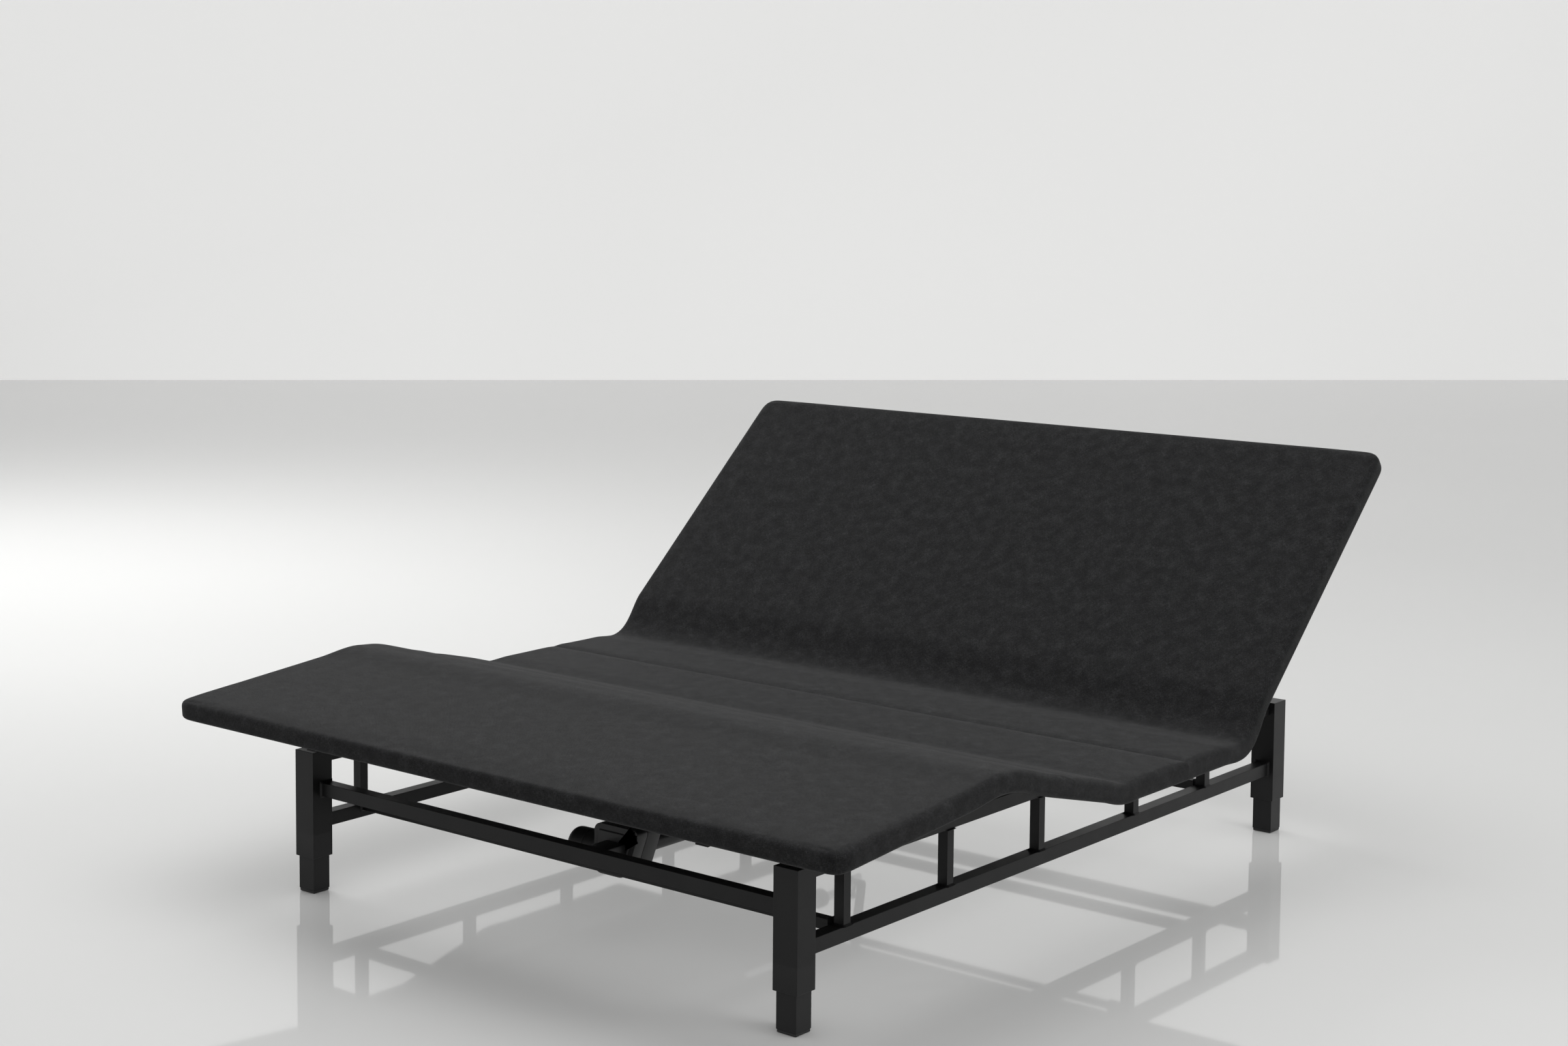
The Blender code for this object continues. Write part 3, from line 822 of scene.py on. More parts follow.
SEAT_HALF = (HEAD_FOLD.axis.y - THIGH_FOLD.axis.y) / 2
THIGH_HALF = 0.1825
KNEE_TO_SPLIT = (KNEE_FOLD.axis - THIGH_FOLD.axis).length - THIGH_HALF
HEAD_LENGTH = 0.757
FOOT_LENGTH = 0.471


# ---------------------------------------------------------------- padded deck


@dataclass
class DeckCover:
    """One padded length of the deck's continuous cover, sewn flat and bent over its hinge."""

    name: str
    fold: Fold
    near_end: float
    far_end: float
    open_end: bool
    stands_for: Tuple[str, ...]
    half_width: float = 0.7585
    under: float = 0.0137
    over: float = 0.0490
    lip: float = 0.0090
    corner: float = 0.0230
    swell: float = 0.0034
    side_swell: float = 0.0012
    column: float = 0.026
    row: float = 0.014
    hem: float = 0.055
    fill: float = 0.9
    groove: float = 0.0022
    valley: float = 0.0020
    valley_width: float = 0.018
    frames: int = 20
    marks: Tuple[float, ...] = (0.0, 0.34, 0.67, 0.90, 1.0)
    side_steps: Tuple[float, ...] = (22.5, 45.0, 67.5, 90.0)
    seam_points: Dict[int, Tuple[float, ...]] = field(default_factory=dict)

    def columns(self) -> np.ndarray:
        """Space the grid across the deck.

        Returns:
            Places across.
        """
        inner = self.half_width - self.lip - self.corner
        fine = [inner + self.corner * m for m in self.marks[1:]]
        middle = np.linspace(-inner, inner, 2 * round(inner / self.column) + 1)
        return np.array([-x for x in reversed(fine)] + list(middle) + fine)

    def rows(self) -> np.ndarray:
        """Space the grid along the deck, closer in a rounded corner.

        Returns:
            Places along.
        """
        inner = self.far_end - self.lip - self.corner if self.open_end else self.far_end
        straight = list(np.linspace(self.near_end, inner, round((inner - self.near_end) / self.row) + 1))
        fine = [inner + self.corner * m for m in self.marks[1:]]
        return np.array(straight + (fine if self.open_end else []))

    def profile(self) -> List[Point]:
        """Step down the side from the top's edge.

        Returns:
            How far out and how high each step is, and its length of cloth from the top's edge.
        """
        quarter, straight = self.lip * math.pi / 2, self.over - self.under - 2 * self.lip
        arc = [(self.lip * math.sin(a), self.lip * (1 - math.cos(a)), self.lip * a)
               for a in map(math.radians, self.side_steps)]
        upper = [(out, self.over - drop, length) for out, drop, length in arc]
        middle = (self.lip, self.over - self.lip - straight / 2, quarter + straight / 2)
        whole = quarter * 2 + straight
        lower = [(out, self.under + drop, whole - length) for out, drop, length in reversed(arc)]
        return [*upper, middle, *lower]

    def outline(self, last_x: int, last_y: int) -> List[List[Tuple[int, int]]]:
        """Follow the sewn edge from one cut end round to the other.

        Args:
            last_x: the last column's number.
            last_y: the last row's number.

        Returns:
            Grid places along each sewn edge.
        """
        left = [(0, j) for j in range(last_y + 1)]
        right = [(last_x, j) for j in range(last_y, -1, -1)]
        if not self.open_end:
            return [left, right]
        return [left + [(i, last_y) for i in range(1, last_x)] + right]

    def flat_grid(self, xs: np.ndarray, ys: np.ndarray) -> Tuple[dict, dict]:
        """Lay out the plan with its rounded corners.

        Args:
            xs: places across.
            ys: places along.

        Returns:
            Place of each grid point, and the outward direction of each edge point.
        """
        inner_x = self.half_width - self.lip - self.corner
        inner_y = self.far_end - self.lip - self.corner
        places, outward = {}, {}
        for i, x in enumerate(xs):
            for j, y in enumerate(ys):
                a = max(0.0, (abs(x) - inner_x) / self.corner)
                b = max(0.0, (y - inner_y) / self.corner) if self.open_end else 0.0
                side = math.copysign(1.0, x)
                if a > 0 and b > 0:
                    length = math.hypot(a, b)
                    scale = max(a, b) / length
                    across = side * (inner_x + self.corner * a * scale)
                    places[i, j] = (across, inner_y + self.corner * b * scale)
                    outward[i, j] = (side * a / length, b / length)
                else:
                    places[i, j] = (x, y)
                    outward[i, j] = (side, 0.0) if a >= 1 or not b else (0.0, 1.0)
        return places, outward

    def lined(self, maps: Sequence[Sequence[float]]) -> bool:
        """Tell whether a face of the underside is dust cloth.

        Args:
            maps: plan places of its corners.

        Returns:
            Whether its middle is inside the hem.
        """
        across, along = (sum(m[k] for m in maps) / 4 for k in (0, 1))
        past_hem = self.open_end and along > self.far_end - self.hem
        return abs(across) < self.half_width - self.hem and not past_hem

    def sew(self) -> Piece:
        """Build the flat closed cover with its cloth map and its pinned points.

        Returns:
            The piece, in flat coordinates about its hinge.
        """
        xs, ys = self.columns(), self.rows()
        places, outward = self.flat_grid(xs, ys)
        shape = bmesh.new()
        cloth = shape.loops.layers.uv.new("cloth")
        tops = {key: shape.verts.new((x, y, self.over)) for key, (x, y) in places.items()}
        bottoms = {key: shape.verts.new((x, y, self.under)) for key, (x, y) in places.items()}
        pins, seams, cut_rings = set(bottoms.values()), {}, {}

        def face(corners: list, maps: list, slot: int = 0) -> None:
            """Add a face.

            Args:
                corners: its points.
                maps: each point's place on the cloth map.
                slot: its material's number.
            """
            made = shape.faces.new(corners)
            made.smooth, made.material_index = True, slot
            for loop, uv in zip(made.loops, maps):
                loop[cloth].uv = uv

        last_x, last_y = len(xs) - 1, len(ys) - 1
        for i in range(last_x):
            for j in range(last_y):
                keys = [(i, j), (i + 1, j), (i + 1, j + 1), (i, j + 1)]
                maps = [places[k] for k in keys]
                face([tops[k] for k in keys], maps)
                face([bottoms[k] for k in keys[::-1]], maps[::-1], int(self.lined(maps)))
        profile = self.profile()
        whole = profile[-1][2] + self.lip * math.radians(self.side_steps[0])
        cut_rows = {0} if self.open_end else {0, last_y}
        for path in self.outline(last_x, last_y):
            along, before, ribs = 0.0, None, []
            for key in path:
                (x, y), (nx, ny) = places[key], outward[key]
                here = Vector((x + nx * self.lip, y + ny * self.lip))
                along += (here - before).length if before is not None else 0.0
                before = here
                rib = [(tops[key], 0.0)]
                for out, high, arc in profile:
                    rib.append((shape.verts.new((x + nx * out, y + ny * out, high)), arc))
                rib.append((bottoms[key], whole))
                ribs.append([(vert, (along, arc)) for vert, arc in rib])
                if key[1] in cut_rows:
                    cut_rings[key] = [vert for vert, _ in rib]
                    pins.update(cut_rings[key])
                if nx and ny and abs(abs(nx) - abs(ny)) < 1e-6:
                    seams.update((vert, (nx, ny, 0.0)) for vert, _ in rib)
                    pins.update(vert for vert, _ in rib)
            for a, b in zip(ribs, ribs[1:]):
                for k in range(len(a) - 1):
                    quad = (a[k], a[k + 1], b[k + 1], b[k])
                    face([vert for vert, _ in quad], [uv for _, uv in quad])
        crease = shape.edges.layers.float.new("crease_edge")
        for j in cut_rows:
            loop = [tops[i, j] for i in range(last_x + 1)] + cut_rings[last_x, j][1:]
            loop += [bottoms[i, j] for i in range(last_x - 1, -1, -1)] + cut_rings[0, j][1:-1][::-1]
            face(loop, [(v.co.x, v.co.z) for v in loop])
            for a, b in zip(loop, loop[1:] + loop[:1]):
                shape.edges.get((a, b))[crease] = 1.0
            pins.update(loop)
        shape.verts.index_update()
        held = [v.index for v in pins]
        self.seam_points.update((v.index, way) for v, way in seams.items())
        mesh = bpy.data.meshes.new(self.name)
        bmesh.ops.recalc_face_normals(shape, faces=shape.faces[:])
        shape.to_mesh(mesh)
        shape.free()
        piece = bpy.data.objects.new(self.name, mesh)
        bpy.context.scene.collection.objects.link(piece)
        piece.vertex_groups.new(name="pinned").add(held, 1.0, "REPLACE")
        return piece

    def blown(self, piece: Piece) -> np.ndarray:
        """Blow the flat cover up as cloth.

        Args:
            piece: the flat cover.

        Returns:
            Where its points end up.
        """
        cloth = piece.modifiers.new("pad", "CLOTH")
        settings = cloth.settings
        settings.quality = 6
        settings.mass = 0.3
        settings.use_pressure, settings.uniform_pressure_force = True, 4.0
        settings.tension_stiffness = settings.compression_stiffness = 8.0
        settings.shear_stiffness, settings.bending_stiffness = 4.0, 0.4
        settings.effector_weights.gravity = 0.0
        settings.vertex_group_mass = "pinned"
        cloth.point_cache.frame_start, cloth.point_cache.frame_end = 1, self.frames
        for number in range(1, self.frames + 1):
            bpy.context.scene.frame_set(number)
        evaluated = piece.evaluated_get(bpy.context.evaluated_depsgraph_get())
        after = np.array([v.co for v in evaluated.to_mesh().vertices])
        evaluated.to_mesh_clear()
        piece.modifiers.remove(cloth)
        bpy.context.scene.frame_set(1)
        return after

    def inflate(self, piece: Piece) -> None:
        """Swell the cover, cap how far it moves, and pull its seams in.

        Args:
            piece: the flat cover.
        """
        mesh = piece.data
        before = np.array([v.co for v in mesh.vertices])
        after = self.blown(piece)
        top = before[:, 2] > self.over - 1e-4
        moved = after - before
        length = np.maximum(np.linalg.norm(moved, axis=1), 1e-9)
        most = np.where(top, self.swell, self.side_swell)
        cap = most * np.tanh(length / most) / length
        cap[[len(v.groups) > 0 for v in mesh.vertices]] = 0.0
        after = before + moved * cap[:, None]
        for index, way in self.seam_points.items():
            deep = before[index][2] > self.over - 0.5 * self.lip
            after[index] -= np.array(way) * self.groove * (1.4 if deep else 1.0)
        after[top, 2] -= self.valley * np.exp(-((before[top, 1] / self.valley_width) ** 2))
        mesh.vertices.foreach_set("co", after.astype(np.float32).ravel())

    def build(self, finishes: Finishes) -> Piece:
        """Sew, inflate, smooth and bend the cover.

        Args:
            finishes: the materials.

        Returns:
            The finished piece.
        """
        piece = self.sew()
        self.inflate(piece)
        piece.vertex_groups.clear()
        piece.data.materials.append(finishes.fabric)
        piece.data.materials.append(finishes.dust)
        Bench.hold(piece)
        smooth = piece.modifiers.new("smooth", "SUBSURF")
        smooth.levels = smooth.render_levels = 1
        bpy.ops.object.modifier_apply(modifier=smooth.name)
        flat = np.array([v.co for v in piece.data.vertices])
        piece.data.vertices.foreach_set("co", self.fold.place(flat).astype(np.float32).ravel())
        if self.fold.way < 0:
            piece.data.flip_normals()
        piece.data.update()
        bpy.ops.object.shade_smooth_by_angle(angle=math.radians(50))
        Bench.clear()
        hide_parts(*self.stands_for)
        self.fold.bend(piece)
        LOG.info("%s bends between %s and %s", piece.name, self.fold.near.value, self.fold.far.value)
        return piece


@dataclass
class Deck:
    """The four-section deck: three covers that meet in mid seat and in mid thigh section."""

    finishes: Finishes

    def build(self) -> None:
        """Make the covers."""
        head = ("head_board", "head_pad", "seat_board", "seat_pad")
        thigh, foot = ("thigh_board", "thigh_pad"), ("foot_board", "foot_pad")
        for cover in (
            DeckCover("cover_head", HEAD_FOLD, -SEAT_HALF, HEAD_LENGTH, True, head),
            DeckCover("cover_thigh", THIGH_FOLD, -SEAT_HALF, THIGH_HALF, False, thigh),
            DeckCover("cover_foot", KNEE_FOLD, -KNEE_TO_SPLIT, FOOT_LENGTH, True, foot),
        ):
            cover.build(self.finishes)


# ---------------------------------------------------------------- steel frame


@dataclass
class SteelFrame:
    """The welded tubes, levers, links and legs, kept from the frame with softened edges."""

    finishes: Finishes
    edge: float = 0.0009
    leg_edge: float = 0.0007
    thin_edge: float = 0.0006
    case_edge: float = 0.0015
    merge: float = 0.00002

    def coat(self, node: str) -> Tuple[Material, float]:
        """Choose the finish and the edge radius of one node.

        Args:
            node: the node's name.

        Returns:
            Its material and the radius of its edges.
        """
        if node.startswith(("leg_sleeve", "inner_leg")):
            return self.finishes.leg, self.leg_edge
        if node.startswith("glide"):
            return self.finishes.glide, self.thin_edge
        if node.endswith("actuator_rod"):
            return self.finishes.rod, self.thin_edge
        if node.endswith("housing") or node == "control_box":
            return self.finishes.casing, self.case_edge
        thin = node.startswith(("foot_link", "link_hanger")) or node.endswith(("lever", "bracket"))
        return self.finishes.frame, self.thin_edge if thin else self.edge

    def build(self) -> None:
        """Dress every node that stays."""
        for name, node in frame["nodes"].items():
            if name.endswith(("board", "pad")):
                continue
            finish, width = self.coat(name)
            if not node.material_slots:
                node.data.materials.append(finish)
            for place in node.material_slots:
                place.link, place.material = "OBJECT", finish
            node.modifiers.new("weld", "WELD").merge_threshold = self.merge
            bevel = node.modifiers.new("edge", "BEVEL")
            bevel.width, bevel.segments, bevel.limit_method = width, 2, "ANGLE"
            bevel.angle_limit = math.radians(38)
            node.modifiers.new("shade", "WEIGHTED_NORMAL").keep_sharp = True
            LOG.info("%s keeps its shape and gets %s", name, finish.name)


# ---------------------------------------------------------------- fittings


def set_at(place: Sequence[float], way: Sequence[float]) -> Matrix:
    """A matrix that stands something made along Z at a place, along a direction."""
    return Matrix.Translation(Vector(place)) @ Vector(way).to_track_quat("Z", "Y").to_matrix().to_4x4()


@dataclass
class Fasteners:
    """Screws, nuts and weld beads, each modelled once at the origin and copied."""

    finishes: Finishes
    post: float = 0.019
    rail: float = 0.0254
    post_gap: float = 0.0002
    anchor_face: float = 0.4322
    lug_face: float = 0.4232
    link_eye: float = 0.009
    rail_bottom: float = -0.0123

    def screw(self, head: float, height: float) -> Piece:
        """A domed screw head with a six-sided socket, on Z from 0.

        Args:
            head: its radius.
            height: its height.

        Returns:
            The model.
        """
        made = Bench.rod("screw", (0, 0, 0), (0, 0, height), head, 18)
        Bench.pick(made, edges=lambda e: all(v.co.z > height * 0.9 for v in e.verts))
        bpy.ops.mesh.bevel(offset=height * 0.6, segments=3, affect="EDGES")
        Bench.clear()
        Bench.cut(made, Bench.rod("socket", (0, 0, height * 0.45), (0, 0, height * 2), head * 0.45, 6))
        return Bench.soften(made, 0.0, 40)

    def nut(self, across: float = 0.0075, height: float = 0.0042) -> Piece:
        """A six-sided nut on its washer, with the end of its stud, on Z from 0.

        Args:
            across: radius over its corners.
            height: its height.

        Returns:
            The model.
        """
        turned = (
            ("nut", 0.0009, height, across, 6, 0.0006, 2),
            ("washer", 0.0, 0.0010, across * 1.22, 24, 0.0003, 1),
            ("stud", 0.001, height + 0.0014, across * 0.52, 20, 0.0005, 2),
        )
        parts = []
        for name, low, high, radius, sides, bevel, steps in turned:
            parts.append(Bench.rod(name, (0, 0, low), (0, 0, high), radius, sides))
            Bench.round_edges(parts[-1], bevel, steps)
        return Bench.soften(Bench.join("nut", parts))

    def bead(self, side: float, leg: float = 0.0032) -> Piece:
        """A square weld fillet round a tube that meets a wall at Z 0.

        Args:
            side: the tube's side.
            leg: the fillet's leg.

        Returns:
            The model.
        """
        whole = side + 2 * leg
        made = Bench.box("bead", (0, 0, leg / 2), (whole, whole, leg))
        Bench.pick(made, faces=Bench.facing(0, 0, 1))
        bpy.ops.transform.resize(value=(side / whole, side / whole, 1))
        Bench.pick(made, faces=lambda face: abs(face.normal.z) < 0.9)
        bpy.ops.mesh.subdivide(number_cuts=3)
        Bench.clear()
        for index, vert in enumerate(made.data.vertices):
            if 0.1 * leg < vert.co.z < 0.9 * leg:
                vert.co.xy *= 1.0 - 0.018 - 0.010 * math.sin(index * 2.4)
        return Bench.soften(made, 0.0, 60)

    def scatter(
        self,
        name: str,
        model: Piece,
        places: Sequence[Place],
        body: Section = Section.BASE,
        weld: bool = False,
    ) -> Piece:
        """Copies of a model at several places, as one piece.

        Args:
            name: the piece's name.
            model: what is copied.
            places: each place and direction.
            body: the body it rides on.
            weld: whether it is coated weld, not plated steel.

        Returns:
            The piece.
        """
        piece = Bench.join(name, [Bench.copy(model, set_at(place, way)) for place, way in places])
        finish, slot = (self.finishes.weld, Slot.FRAME) if weld else (self.finishes.plated, Slot.STEEL)
        return Bench.dress(piece, finish, body, slot)

    @staticmethod
    def ends(node: str, axis: int, gap: float = 0.0) -> List[Place]:
        """Find both ends of a bar.

        Args:
            node: the bar.
            axis: number of the axis that it runs along.
            gap: how far beyond its ends the places are.

        Returns:
            The middle of each end and the direction into the bar.
        """
        low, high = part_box(node)
        found = []
        for corner, sign in ((low, 1), (high, -1)):
            place, way = [(a + b) / 2 for a, b in zip(low, high)], [0, 0, 0]
            place[axis], way[axis] = corner[axis] - sign * gap, sign
            found.append((tuple(place), tuple(way)))
        return found

    def welds(self) -> None:
        """Lay fillets where the tubes meet."""
        thin, thick = self.bead(self.post), self.bead(self.rail)
        posts, bars = [], []
        for side in ("left", "right"):
            for number in range(1, 6):
                posts += self.ends(f"side_post_{side}_{number}", 2, self.post_gap)
        for end in ("foot", "head"):
            posts += self.ends(f"{end}_tie_bar", 0)
            bars += self.ends(f"{end}_crossbar", 0)
        for side in ("left", "right"):
            bars += self.ends(f"lower_side_rail_{side}", 1)
        self.scatter("weld_beads_thin", thin, posts, weld=True)
        self.scatter("weld_beads_thick", thick, bars, weld=True)
        Bench.drop(thin, thick)

    def nuts(self) -> None:
        """Put nuts on the links' studs and lug pins."""
        model = self.nut()
        anchors, lugs = [], []
        for side, way in (("left", -1), ("right", 1)):
            place = joint_axis(f"foot_link_swing_{side}")
            anchors.append(((way * self.anchor_face, place.y, place.z), (way, 0, 0)))
            low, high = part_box(f"foot_link_{side}")
            lug = (way * self.lug_face, low[1] + self.link_eye, high[2] - self.link_eye)
            lugs.append((lug, (-way, 0, 0)))
        self.scatter("anchor_nuts", model, anchors)
        self.scatter("lug_nuts", model, lugs, Section.FOOT)
        Bench.drop(model)

    def rail_screws(self) -> None:
        """Drive screws up through the deck rails into the boards."""
        model = self.screw(0.0048, 0.0030)
        for part, fold, stations, x in (
            ("head", HEAD_FOLD, (0.16, 0.33, 0.50), 0.500),
            ("thigh", THIGH_FOLD, (0.13, 0.24), 0.500),
            ("foot", KNEE_FOLD, (0.12, 0.25, 0.38), 0.450),
        ):
            angle = math.radians(fold.slope + fold.turn)
            down = (0.0, fold.way * math.sin(angle), -math.cos(angle))
            spots = [Vector(fold.end(s)) - self.rail_bottom * Vector(down) for s in stations]
            places = [((side * x, spot.y, spot.z), down) for side in (-1, 1) for spot in spots]
            self.scatter(f"{part}_rail_screws", model, places, fold.far)
        Bench.drop(model)

    def build(self) -> None:
        """Make them all."""
        self.welds()
        self.nuts()
        self.rail_screws()


@dataclass
class Actuator:
    """One linear actuator: two-part gearcase, motor across it and spindle tube."""

    node: str
    finishes: Finishes
    fasteners: Fasteners
    width: float = 0.104
    length: float = 0.066
    height: float = 0.090
    slant: float = 0.032
    corner: float = 0.015
    rear_share: float = 0.42
    edge: float = 0.0022
    joint_gap: float = 0.0006
    joint_depth: float = 0.0016
    motor_radius: float = 0.0305
    motor_drop: float = 0.012
    motor_dome: float = 0.014
    tube_radius: float = 0.0165
    bore_radius: float = 0.0098
    collar_radius: float = 0.0186
    flange_radius: float = 0.0235
    tail: float = 0.0595
    lug_width: float = 0.044
    lug_height: float = 0.022
    lug_overlap: float = 0.02
    screw_inset: float = 0.011

    def shell(self, name: str, y0: float, y1: float, shrink: float = 0.0) -> Piece:
        """One slice of the gearcase.

        Args:
            name: the slice's name.
            y0: where it starts.
            y1: where it ends.
            shrink: how far it is set in all round.

        Returns:
            The slice.
        """
        x, z = self.centre()
        size = (self.width - 2 * shrink, y1 - y0, self.height - 2 * shrink)
        made = Bench.box(name, (x, (y0 + y1) / 2, z), size)
        Bench.pick(made, edges=lambda e: all(v.co.x > x and v.co.z < z for v in e.verts))
        bpy.ops.transform.translate(value=(-self.slant, 0, 0))
        return Bench.round_edges(made, self.corner, 6, along=1)

    def centre(self) -> Tuple[float, float]:
        """Find the spindle's line from the node's far top corner.

        Returns:
            Its x and z.
        """
        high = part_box(self.node)[1]
        return high[0] - self.width / 2, high[2] - self.height / 2

    def gearcase(self, back: float, front: float) -> List[Piece]:
        """Model both halves and the joint between them.

        Args:
            back: y of the rear face.
            front: y of the front face.

        Returns:
            The three parts.
        """
        split = back + self.length * self.rear_share
        rear = self.shell("rear", back, split - self.joint_gap)
        Bench.pick(rear, faces=Bench.facing(0, -1, 0))
        bpy.ops.mesh.inset(thickness=0.010)
        bpy.ops.mesh.inset(thickness=0.002, depth=0.0022)
        cover = self.shell("cover", split + self.joint_gap, front)
        core = self.shell("core", split - 0.004, split + 0.004, self.joint_depth)
        return [Bench.soften(rear, self.edge), Bench.soften(cover, self.edge), Bench.soften(core)]

    def motor(self, end: float, y: float) -> List[Piece]:
        """Model the motor's domed can and its two rings.

        Args:
            end: x of the can's far end.
            y: y of its axis.

        Returns:
            The parts.
        """
        x, z = self.centre()
        z -= self.motor_drop
        can = Bench.rod("can", (end, y, z), (x, y, z), self.motor_radius, 48)
        Bench.pick(can, edges=lambda e: all(v.co.x < end + 0.001 for v in e.verts))
        bpy.ops.mesh.bevel(offset=self.motor_dome, segments=7, affect="EDGES")
        parts, side = [Bench.soften(can)], x - self.width / 2
        for start, stop, grow in ((-0.009, 0.004, 0.0012), (-0.036, -0.0335, 0.0006)):
            radius = self.motor_radius + grow
            ring = Bench.rod("ring", (side + start, y, z), (side + stop, y, z), radius, 48)
            parts.append(Bench.soften(ring, 0.0008))
        return parts

    def turned(
        self, ends: Tuple[float, float], radius: float, edge: float, bore: float = 0.0, depth: float = 0.0
    ) -> Piece:
        """Turn a part on the spindle's line, with a blind bore from its front if it has one.

        Args:
            ends: y of its two ends.
            radius: its radius.
            edge: its bevel.
            bore: the bore's radius, or 0 for none.
            depth: the bore's depth.

        Returns:
            The part.
        """
        x, z = self.centre()
        made = Bench.rod("turned", (x, ends[0], z), (x, ends[1], z), radius, 40)
        if bore:
            Bench.pick(made, faces=Bench.facing(0, 1, 0))
            bpy.ops.mesh.inset(thickness=radius - bore)
            bpy.ops.mesh.extrude_region_move(TRANSFORM_OT_translate={"value": (0, -depth, 0)})
        return Bench.soften(made, edge)

    def build(self) -> Piece:
        """Model the actuator in place of its plain housing.

        Returns:
            The piece.
        """
        low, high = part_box(self.node)
        leg = self.node.startswith("leg")
        back = low[1] + (self.tail if leg else 0.0)
        (x, z), front, end = self.centre(), back + self.length, high[1]
        middle = (back + front) / 2
        parts = self.gearcase(back, front) + self.motor(low[0] + 0.0005, middle)
        bore = self.bore_radius
        parts += [
            self.turned((front - 0.006, end), self.tube_radius, 0.0006, bore, end - front - 0.02),
            self.turned((end - 0.020, end - 0.001), self.collar_radius, 0.0010, bore + 0.0002, 0.0185),
            self.turned((front - 0.002, front + 0.007), self.flange_radius, 0.0015),
        ]
        gland = Bench.rod("gland", (x - 0.030, middle, z + 0.040), (x - 0.030, middle, z + 0.052), 0.006, 20)
        parts.append(Bench.soften(gland, 0.0012))
        if leg:
            reach = back + self.lug_overlap
            lug_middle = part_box("foot_tie_bar")[1][2] + 0.0004 + self.lug_height / 2
            lug_size = (self.lug_width, reach - low[1], self.lug_height)
            lug = Bench.box("lug", (x, (low[1] + reach) / 2, lug_middle), lug_size)
            Bench.round_edges(lug, 0.006, 4, along=0)
            parts.append(Bench.soften(lug, 0.0015))
        piece = Bench.join(self.node.replace("housing", "body"), parts)
        Bench.dress(piece, self.finishes.casing, Section.BASE, Slot.ACTUATOR, (self.node,))
        model = self.fasteners.screw(0.0036, 0.0022)
        across, up = self.width / 2 - self.screw_inset, self.height / 2 - self.screw_inset
        spots = [(-across, up), (across, up), (-across, -up), (across - self.slant + 0.003, -up)]
        places = [((x + px, front - 0.0001, z + pz), (0, 1, 0)) for px, pz in spots]
        self.fasteners.scatter(self.node.replace("housing", "screws"), model, places)
        Bench.drop(model)
        return piece


